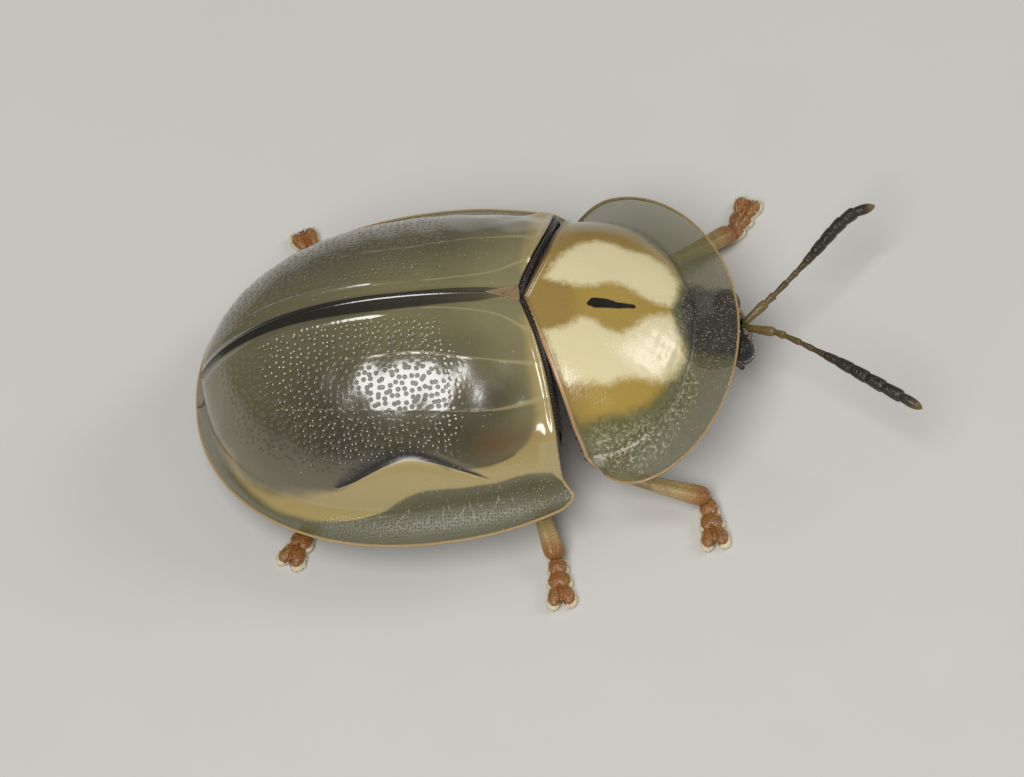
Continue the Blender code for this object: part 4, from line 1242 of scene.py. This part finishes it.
def makeLimb(hip, knee, ankle, forms):
    # hip joint, thigh and shin, red at the hip and at the shin's end
    s = legSizes
    thigh, shin = (knee - hip).normalized(), (ankle - knee).normalized()
    coxa = ballAt((hip.x, hip.y, hip.z + s["coxaLift"]), s["coxa"], 20, 12)
    femur = placeAlong(forms["femur"], hip, knee + thigh * s["overlap"], s["femurWidth"], s["femurWidth"] * 0.75)
    tibia = placeAlong(forms["tibia"], knee - shin * s["overlap"], ankle + shin * 0.06, s["tibiaWidth"],
                       s["tibiaHeight"])
    onThigh, onShin = (readPoints(forms[key])[:, 2] for key in ("femur", "tibia"))
    shinRed = 0.05 + 0.85 * softStep(onShin, 0.68, 0.97) + 0.35 * (1 - softStep(onShin, 0, 0.2))
    return [reddened(coxa, 0.9), reddened(femur, 0.55 - 0.25 * np.sin(np.pi * onThigh)), reddened(tibia, shinRed)]


def makeFoot(ankle, toe, forms):
    # two lobes, a split third one and a slim last joint with two claws; pale felt pads lie under them
    s = legSizes
    step = (toe - ankle) * Vector((1, 1, 0))
    length, along = step.length, step.normalized()
    across = Vector((-along.y, along.x, 0))

    def above(share, height, aside=0.0):
        return Vector((ankle.x, ankle.y, height)) + along * (length * share) + across * aside

    horn, pads, claws = [], [], []
    for (share, lift), lobeLength, lobeWidth in zip(s["lobePlaces"], s["lobeLengths"], s["lobeWidths"]):
        size = (lobeLength * 1.15, lobeWidth, s["lobeHeight"] * 1.3)
        horn.append(reddened(placeLobe(forms["lobe"], above(share, lift), along, size, "lobe"), 0.9))
        pads.append(placeLobe(forms["lobe"], above(share, lift * 0.58) + along * 0.04, along,
                              (size[0] * 0.9, size[1] * 1.2, s["padHeight"]), "pad"))
    toeWidth = s["lobeWidths"][2]
    for side in (-1, 1):
        direction = along + across * (0.12 * side)
        centre = above(0.72, 0.13, s["toeSpread"] * side)
        horn.append(reddened(placeLobe(forms["toe"], centre, direction, (s["lobeLengths"][2], toeWidth, 0.19), "toe"),
                             0.85))
        pads.append(placeLobe(forms["toe"], centre + direction * 0.05 + across * (0.02 * side) - Vector((0, 0, 0.06)),
                              direction, (0.46, toeWidth * 1.1, s["padHeight"]), "pad"))
        root = above(0.87, 0.165, 0.02 * side)
        tip = root + along * 0.1 + across * (0.05 * side) + Vector((0, 0, -0.01))
        claws.append(reddened(placeAlong(forms["claw"], root, tip, 0.02, name="claw"), 0.8))
    horn.append(reddened(placeAlong(forms["femur"], above(0.5, 0.19), above(0.9, 0.17), 0.06), 1.0))
    return horn, pads, claws


def keepAbove(obj, height):
    points = readPoints(obj)
    points[:, 2] = np.maximum(points[:, 2], height)
    writePoints(obj, points)
    return points


def makeLeg(name, joints, forms):
    s = legSizes
    hip, knee, ankle, toe = (Vector(p) for p in joints)
    limb = makeLimb(hip, knee, ankle, forms)
    foot, pads, claws = makeFoot(ankle, toe, forms)
    label = "".join(part.title() for part in name.split("_"))
    hornPiece, padPiece = joined("leg" + label, limb + foot), joined("pads" + label, pads)
    keepAbove(hornPiece, 0.012)
    soles = keepAbove(padPiece, 0.0)
    setField(padPiece, "tip", 0.6)
    clearOfHip = (knee - hip).length * 0.9
    roots, directions = surfacePlaces(hornPiece, s["bristles"], lambda face: (
        (face.center - knee).length > 0.15 and face.center.z < min(knee.z, 0.8) and face.normal.z > -0.6
        and (face.center - hip).length > clearOfHip))
    finishPiece(hornPiece, "leg" + label, ["legHorn"], ["leg_" + name])
    finishPiece(padPiece, "pads" + label, ["padFelt"])
    finishPiece(joined("claws" + label, claws), "claws" + label, ["clawHorn"])
    downLeg = np.array((ankle - knee).normalized())
    hairs("bristles" + label, roots, directions * 0.9 + downLeg * 0.6, s["bristleLength"], s["bristleRadius"],
          "goldBristle")
    # the felt's fringe stands out round the edge of the pads
    edge = soles[(soles[:, 2] > 0.03) & (soles[:, 2] < 0.11)]
    picks = edge[chance.choice(len(edge), s["fringe"])]
    out = (picks - soles.mean(axis=0)) * (1, 1, 0)
    out /= np.maximum(np.linalg.norm(out, axis=1, keepdims=True), 1e-6)
    spread = out + chance.normal(0, 0.35, out.shape)
    spread[:, 2] = np.abs(spread[:, 2]) * 0.4 - 0.1
    hairs("fringe" + label, picks - out * 0.02, spread, s["fringeLength"], s["fringeRadius"], "padFelt")


legForms = makeLegForms()
for legName, joints in legJoints.items():
    makeLeg(legName, joints, legForms)
for form in legForms.values():
    bpy.data.objects.remove(form)
print("six legs are on")


# Antennae: eleven joints on a curve, the last five thick and downy

antennaRoutes = {
    "antenna_right": [(4.02, 0.17, 1.58), (4.12, 0.11, 1.645), (4.466, -0.076, 1.721), (4.816, -0.391, 1.86),
                      (5.23, -0.776, 1.967), (5.64, -1.117, 2.012), (6.18, -1.563, 1.999), (6.785, -2.007, 1.912),
                      (6.97, -2.145, 1.875)],
    "antenna_left": [(4.0, 0.38, 1.56), (4.093, 0.434, 1.62), (4.361, 0.643, 1.655), (4.79, 1.0, 1.766),
                     (5.12, 1.31, 1.83), (5.45, 1.67, 1.868), (5.78, 2.04, 1.883), (6.08, 2.28, 1.88),
                     (6.44, 2.375, 1.87)],
}
antennaSizes = {
    "lengths": (0.135, 0.065, 0.1, 0.08, 0.075, 0.075, 0.086, 0.086, 0.086, 0.09, 0.122),
    "radii": (0.085, 0.07, 0.06, 0.058, 0.062, 0.08, 0.102, 0.112, 0.116, 0.114, 0.102),
    "redness": (0.1, 0.2, 0.3, 0.45, 0.7, 0.92, 1.05, 1.05, 1.05, 1.05, 0.95),
    "down": 3600, "downLength": 0.06, "downRadius": 0.0042,
}


def curvePoint(route, share):
    # a point on the smooth curve through a route, by share of its length
    points = [Vector(p) for p in route]
    steps = [(b - a).length for a, b in zip(points, points[1:])]
    distance = min(max(share, 0), 1) * sum(steps)
    i = 0
    while i < len(steps) - 1 and distance > steps[i]:
        distance -= steps[i]
        i += 1
    t = min(distance / steps[i], 1)
    p0, p1, p2, p3 = points[max(i - 1, 0)], points[i], points[i + 1], points[min(i + 2, len(points) - 1)]
    return 0.5 * ((2 * p1) + (p2 - p0) * t + (2 * p0 - 5 * p1 + 4 * p2 - p3) * t ** 2
                  + (3 * p1 - p0 - 3 * p2 + p3) * t ** 3)


def makeAntenna(name, route, slim, thick, tip):
    s = antennaSizes
    passed = 0.0
    beads = []
    for i, (length, radius, red) in enumerate(zip(s["lengths"], s["radii"], s["redness"])):
        start = curvePoint(route, passed - 0.004) if i else Vector(route[0]) * 2 - Vector(route[1])
        passed += length
        end = curvePoint(route, passed + 0.006)
        last = i == len(s["lengths"]) - 1
        form = tip if last else slim if i < 5 else thick
        bead = placeAlong(form, start, end, radius)
        heights = readPoints(form)[:, 2]
        pale = 0.9 * softStep(heights, 0.45, 0.9) if last else 0
        setField(bead, "redness", red - pale)
        beads.append(bead)
    antenna = joined(name, beads)
    start, end = np.array(route[0]), np.array(route[-1])
    roots, directions = surfacePlaces(antenna, s["down"])
    axis = (end - start) / np.linalg.norm(end - start)
    label = "antenna" + name.split("_")[1].title()
    finishPiece(antenna, label, ["antennaHorn"], [name])
    hairs(label + "Down", roots, directions * 0.7 + axis * 0.7, s["downLength"], s["downRadius"], "antennaDown")


makeFeltFinish("antennaDown", "4a4030", "bdae8c")
slimForm = turnedUp([(0.0, 0.55), (0.03, 0.7), (0.12, 0.78), (0.35, 0.82), (0.6, 0.95), (0.8, 1.06), (0.92, 1.0),
                     (0.98, 0.78), (1.0, 0.5)], 14)
thickForm = turnedUp([(0.0, 0.5), (0.03, 0.74), (0.12, 0.9), (0.35, 0.98), (0.65, 1.04), (0.85, 1.04), (0.94, 0.94),
                      (0.985, 0.72), (1.0, 0.45)], 16)
tipForm = turnedUp([(0.0, 0.5), (0.03, 0.72), (0.12, 0.88), (0.35, 0.96), (0.55, 0.94), (0.72, 0.82), (0.86, 0.6),
                    (0.95, 0.36), (1.0, 0.1)], 16)
for antennaName, route in antennaRoutes.items():
    makeAntenna(antennaName, route, slimForm, thickForm, tipForm)
for form in (slimForm, thickForm, tipForm):
    bpy.data.objects.remove(form)
print("both antennae are on")


# Head, mouthparts and eyes

headSizes = {
    "skull": ((3.42, 0.06, 1.14), (0.62, 0.56, 0.42)),
    "face": ((3.78, 0.06, 1.12), (0.3, 0.5, 0.4)),
    "brow": ((3.84, 0.19, 1.43), (0.17, 0.2, 0.16)), "browMiddle": 0.05,
    "eye": ((3.76, 0.54, 1.44), (0.25, 0.27, 0.27)),
    "palp": [(3.56, 0.22, 0.9), (3.68, 0.3, 0.78), (3.75, 0.32, 0.66), (3.76, 0.28, 0.54)],
    "palpRadii": (0.055, 0.062, 0.055),
    "voxel": 0.03, "beadSize": 0.014, "beadsOnFront": 90, "beadsRoundEye": 30,
}


def turnHead(obj):
    # turns a piece of the head with it, from the animal's own frame
    points = readPoints(obj)
    writePoints(obj, [headPoint(*point) for point in points])


def makeHead():
    s = headSizes
    parts = [ballAt(*s["skull"]), ballAt(*s["face"])]
    (x, y, z), sizes = s["brow"]
    for side in (-1, 1):
        parts.append(ballAt((x, s["browMiddle"] + y * side, z), sizes, 20, 12))
    head = joined("head", parts)
    addModifier(head, "remesh", "REMESH", mode="VOXEL", voxel_size=s["voxel"])
    addModifier(head, "soften", "SMOOTH", factor=0.5, iterations=6)
    applyAll(head)
    points = readPoints(head)
    x, y, z = points.T
    groove = 0.03 * np.exp(-((y - 0.05) / 0.03) ** 2) * softStep(x, 3.6, 3.8) * softStep(z, 1.1, 1.3)
    clypeus = 0.02 * np.exp(-((z - 1.12) / 0.03) ** 2) * softStep(x, 3.8, 3.95)
    points[:, 0] -= groove + clypeus
    for side in (-1, 1):
        (ex, ey, ez), sizes = s["eye"]
        offset = points - np.array((ex, s["browMiddle"] + ey * side, ez))
        reach = np.linalg.norm(offset / (np.array(sizes) * 1.02), axis=1)
        inner = reach < 1.08
        points[inner] -= offset[inner] * (0.16 * (1 - reach[inner][:, None] / 1.08))
    writePoints(head, points)
    socket = np.minimum(np.hypot(y - 0.05 - 0.19, z - 1.47), np.hypot(y - 0.05 + 0.19, z - 1.47))
    orange = (1 - softStep(socket, 0.08, 0.2)) * softStep(x, 3.82, 3.95)
    orange = np.maximum(orange, (1 - softStep(z, 0.86, 1.02)) * softStep(x, 3.7, 3.9) * 0.7)
    storeField(head, "redness", np.clip(1.25 - 1.25 * orange, 0, 1.25))
    turnHead(head)
    return head


def makeMouth():
    slim = turnedUp([(0.0, 0.5), (0.06, 0.8), (0.2, 1.0), (0.7, 1.0), (0.92, 0.8), (1.0, 0.4)], 14)
    jawForm = turnedUp([(0.0, 0.7), (0.1, 1.0), (0.4, 0.95), (0.7, 0.7), (0.92, 0.35), (1.0, 0.1)], 14)
    parts = []
    middle = headSizes["browMiddle"]
    for side in (-1, 1):
        jaw = placeAlong(jawForm, (3.78, middle + 0.17 * side, 0.98), (3.86, middle + 0.03 * side, 0.64), 0.12, 0.09)
        parts.append(reddened(jaw, 0.55))
        route = [(x, middle + y * side, z) for x, y, z in headSizes["palp"]]
        for i, radius in enumerate(headSizes["palpRadii"]):
            parts.append(reddened(placeAlong(slim, route[i], route[i + 1], radius), 0.35 + 0.25 * i))
    parts.append(reddened(ballAt((3.84, middle, 0.86), (0.12, 0.24, 0.09), 20, 12), 0.3))       # the lip
    parts.append(reddened(ballAt((3.5, middle, 0.8), (0.26, 0.22, 0.1), 20, 12), 0.8))          # the chin
    mouth = joined("mouthparts", parts)
    for form in (slim, jawForm):
        bpy.data.objects.remove(form)
    turnHead(mouth)
    return mouth


def makeEye(side):
    (x, y, z), sizes = headSizes["eye"]
    eye = startFrom(bpy.ops.mesh.primitive_ico_sphere_add, subdivisions=5, radius=1)
    points = readPoints(eye) * np.array(sizes)
    points += np.array((x, headSizes["browMiddle"] + y * side, z))
    writePoints(eye, points)
    turnHead(eye)
    return eye


def beads(name, places, size, material, slot):
    # small round grains of one form, each at a place of its own
    grain = startFrom(bpy.ops.mesh.primitive_ico_sphere_add, subdivisions=2, radius=1)
    base = readPoints(grain)
    faces = [tuple(face.vertices) for face in grain.data.polygons]
    bpy.data.objects.remove(grain)
    vertices, polygons = [], []
    for i, place in enumerate(places):
        first = i * len(base)
        scale = size * chance.uniform(0.65, 1.15)
        vertices.extend(base * scale + np.array(place))
        polygons.extend(tuple(first + index for index in face) for face in faces)
    return finishPiece(meshPiece(name, vertices, polygons), name, [material], sharpAngle=80)


def makeEyeFinish():
    tree, shader, place, tone = startFinish("eyeBlack", 4000.0, 20000.0)
    cells = addNode(tree, "ShaderNodeTexVoronoi", {"Vector": place, "Scale": 34000.0, "Randomness": 0.25})
    edge = fade(tree, cells.outputs["Distance"], 0.25, 0.6)
    shade = blendColour(tree, tone, colour("15161c"), colour("3a3b46"))
    shade = layer(tree, shade, edge, "08080a")
    connect(tree, shade, shader, "Base Color")
    setPlain(shader, Roughness=0.22, Coat_Weight=0.3)
    height = times(tree, inverse(tree, cells.outputs["Distance"]), 0.012)
    bump = addNode(tree, "ShaderNodeBump", {"Height": height, "Distance": mm, "Strength": 1.0})
    connect(tree, bump.outputs[0], shader, "Normal")


def makeGrainFinish(name, pale, deep):
    tree, shader, _, tone = startFinish(name, 9000.0, 40000.0)
    connect(tree, blendColour(tree, tone, colour(pale), colour(deep)), shader, "Base Color")
    setPlain(shader, Roughness=0.18, Coat_Weight=0.5)


makeEyeFinish()
# pale grains whose colour is painted glints, round the eyes and on the front of the head
makeGrainFinish("waxGrain", "f4f0e2", "a39b88")
makeGrainFinish("darkGrain", "3a2c20", "0c0806")
head = makeHead()
eyes = {side: makeEye(side) for side in (-1, 1)}
# the pale grains that stand in for glints round the eyes and on the front of the head
grains = []
(eyeX, eyeY, eyeZ), eyeRadii = headSizes["eye"]
for side in (-1, 1):
    for i in range(headSizes["beadsRoundEye"]):
        angle = 2 * math.pi * (i + random.uniform(-0.3, 0.3)) / headSizes["beadsRoundEye"]
        place = headPoint(eyeX + eyeRadii[0] * 0.969 * math.cos(angle),
                          headSizes["browMiddle"] + eyeY * side + eyeRadii[1] * 1.03 * math.sin(angle), eyeZ + 0.05)
        nearest = head.closest_point_on_mesh(place)[1]
        grains.append(nearest if (nearest - place).length < 0.12 else place)
for i in range(headSizes["beadsOnFront"]):
    place = headPoint(random.uniform(3.7, 4.2), headSizes["browMiddle"] + random.uniform(-0.5, 0.5),
                      random.uniform(1.15, 1.8))
    nearest, normal = head.closest_point_on_mesh(place)[1:3]
    grains.append(nearest + normal * 0.004)
finishPiece(head, "headCapsule", ["headHorn"], ["head"])
finishPiece(makeMouth(), "mouthparts", ["headHorn"])
for side, label in ((-1, "right"), (1, "left")):
    finishPiece(eyes[side], "compoundEye_" + label, ["eyeBlack"], ["eye_" + label])
beads("headGrains", grains, headSizes["beadSize"], "waxGrain", "head_horn")
print("the head is on")


# The body under the plates

bodySizes = {
    "belly": 1.22, "sideRoom": 0.85, "clear": 0.5, "bellyStart": -1.9, "tail": -4.95, "front": 0.3,
    "sternites": (-2.55, -3.15, -3.75, -4.35), "middle": -0.35, "prothorax": (0.6, 2.66), "seam": 0.03,
}


def trunkForm(backX, frontX, halfWidth, top, bottom, segments=64, rings=72):
    def rule(a, b, c):
        x = mix(backX, frontX, (a + 1) / 2)
        rounding = np.sqrt(np.clip(1 - np.abs(a) ** 5, 0, 1))
        ring = np.maximum(np.hypot(b, c), 1e-6)
        across = np.sign(b) * np.abs(b / ring) ** 0.85
        up = np.sign(c) * np.abs(c / ring) ** 0.85
        y = halfWidth(x) * across * rounding
        ceiling = top(x, y)
        middle = ceiling * 0.3 + bottom(x, y) * 0.7
        lift = np.where(up > 0, ceiling - middle, middle - bottom(x, y)) * up * rounding
        return x, y, middle + lift
    return shapedBall(rule, segments, rings)


def cutBetween(form, name, low, high):
    # the part of a form between two places along the body, with its cut ends closed and eased
    part = copyOf(form, name)
    for place, normal in ((low, 1), (high, -1)):
        if place is None:
            continue
        editAll(part)
        bpy.ops.mesh.bisect(plane_co=(place, 0, 0), plane_no=(normal, 0, 0), use_fill=True, clear_inner=True)
        leaveEdit()
    addModifier(part, "ease", "BEVEL", width=0.03, segments=2, limit_method="ANGLE", angle_limit=math.radians(40))
    applyAll(part)
    closeSeams(part)
    return part


def makeBody():
    s = bodySizes

    def halfWidth(x):
        return np.maximum(discHalfWidth(x) - s["sideRoom"], 0.4 * discHalfWidth(x))

    def top(x, y):
        inner, outer = wingCase["domePowers"]
        edge = rimHeight(x) + wingCase["discLift"]
        share = np.clip(np.abs(y) / np.maximum(discHalfWidth(x), 1e-6), 0, 1)
        dome = edge + np.maximum(seamHeight(np.minimum(x, 0.2)) - edge, 0) * (1 - share ** inner) ** outer
        return dome - s["clear"]

    def bottom(x, y):
        plates = np.clip((s["bellyStart"] - x) / 0.61, 0, 9)
        step = 0.1 * (plates % 1) ** 2 + 0.04 * np.floor(plates)
        groove = 0.07 * np.exp(-(y / 0.05) ** 2) * (x > s["bellyStart"])
        plate = 0.12 * spot(x, np.abs(y), (-0.9, 0.95), (0.5, 0.45)) * (x > s["bellyStart"])
        return s["belly"] + step + groove - plate

    def frontTop(x, y):
        return shieldHeight(np.clip(x, 0.3, 2.7), y * 0.6) - 0.5

    def frontBottom(x, y):
        return s["belly"] + 0.02 - 0.14 * np.exp(-(y / 0.16) ** 2) + 0.1 * np.abs(y)

    def frontHalf(x):
        return 1.65 - 0.1 * (x - 0.6) ** 2

    trunk = trunkForm(s["tail"], s["front"], halfWidth, top, bottom)
    cuts = (s["bellyStart"],) + s["sternites"]
    half = s["seam"] / 2
    pieces = []
    for i, high in enumerate(cuts):
        low = cuts[i + 1] + half if i + 1 < len(cuts) else None
        part = cutBetween(trunk, "bellyRing%d" % (i + 1), low, high - half)
        pieces.append((part, ["abdomen"]))
    hindBody = cutBetween(trunk, "metathorax", s["bellyStart"] + half, s["middle"] - half)
    middleBody = cutBetween(trunk, "mesothorax", s["middle"] + half, None)
    pieces += [(hindBody, ["thorax"]), (middleBody, ["thorax"])]
    bpy.data.objects.remove(trunk)
    frontBody = trunkForm(*s["prothorax"], frontHalf, frontTop, frontBottom, 56, 44)
    points = readPoints(frontBody)
    points[:, 0], points[:, 1] = turned(points[:, 0], points[:, 1])
    writePoints(frontBody, points)
    frontBody.name = "prothoraxBody"
    pieces.append((frontBody, ["prothorax"]))
    return pieces


def makeScutellum():
    # the small triangle between the wing cases: a plate with a raised edge and a dished middle
    plate = startFrom(bpy.ops.mesh.primitive_circle_add, vertices=3, radius=0.17, fill_type="NGON")
    editAll(plate)
    bpy.ops.mesh.extrude_region_move(TRANSFORM_OT_translate={"value": (0, 0, 0.06)})
    bpy.ops.mesh.inset(thickness=0.03, depth=-0.012)
    leaveEdit()
    addModifier(plate, "ease", "BEVEL", width=0.015, segments=2)
    addModifier(plate, "smooth", "SUBSURF", levels=2, render_levels=2)
    applyAll(plate)
    points = readPoints(plate)
    x, y, z = points.T
    writePoints(plate, np.stack([-0.16 - y * 2.5, x * 1.15, seamHeight(-0.16 - y * 2.5) + z - 0.035], -1))
    closeSeams(plate)
    return plate


for part, nodes in makeBody():
    setField(part, "redness", 0.8)
    finishPiece(part, part.name, ["bodyHorn"], nodes, sharpAngle=40)
scutellum = makeScutellum()
setField(scutellum, "redness", 0.2)
makeHornFinish("scutellumHorn", "a08462", "5e4630", "33241a", 0.2, grain=16000.0, relief=0.012, coat=0.5)
finishPiece(scutellum, "scutellum", ["scutellumHorn"], ["thorax"])


def makeCollar():
    # a dark wall under the front edges of the wing cases, which closes the gap behind the neck shield
    profile = ((-0.04, -0.06), (0.05, -0.06), (0.08, -0.1), (0.09, -0.2), (0.04, -0.55))
    collar, u, v = flatGrid(90, len(profile) - 1)
    reach = u * 2 - 1
    share = np.abs(reach) * 0.7         # it ends before the shoulders
    base = casePoint(share, np.zeros(len(u)))
    level = v * (len(profile) - 1)
    forward, down = (np.interp(level, range(len(profile)), values) for values in zip(*profile))
    wave = 0.012 * np.sin(reach * 150) * (forward > 0.05)
    x = base[:, 0] + frontReach(share, 0, reach) + forward + wave
    writePoints(collar, np.stack([x, base[:, 1] * np.sign(reach), base[:, 2] + down], -1))
    addModifier(collar, "wall", "SOLIDIFY", thickness=0.03)
    applyAll(collar)
    closeSeams(collar)
    return collar


collar = makeCollar()
setField(collar, "redness", 1.2)
finishPiece(collar, "neckCollar", ["bodyHorn"], sharpAngle=60)
edgeGrains = {"onCases": 52, "caseSize": 0.026, "onShield": 90, "shieldSize": 0.02}
teeth = []
for side in (-1, 1):
    for share in np.linspace(0.05, 0.73, edgeGrains["onCases"]):
        x, y, z = casePoint(np.array([share]), np.array([0.0]))[0]
        teeth.append((x + 0.03 + frontReach(share, 0, side), y * side, z - 0.03))
beads("baseTeeth", teeth, edgeGrains["caseSize"], "darkGrain", "dark_body")
teeth = [(x - 0.015, y, z - 0.02) for x, y, z in shieldPoint(np.linspace(0.12, 0.88, edgeGrains["onShield"]),
                                                              np.zeros(edgeGrains["onShield"]))]
beads("neckTeeth", teeth, edgeGrains["shieldSize"], "darkGrain", "shield_shell")
print("the body is on")
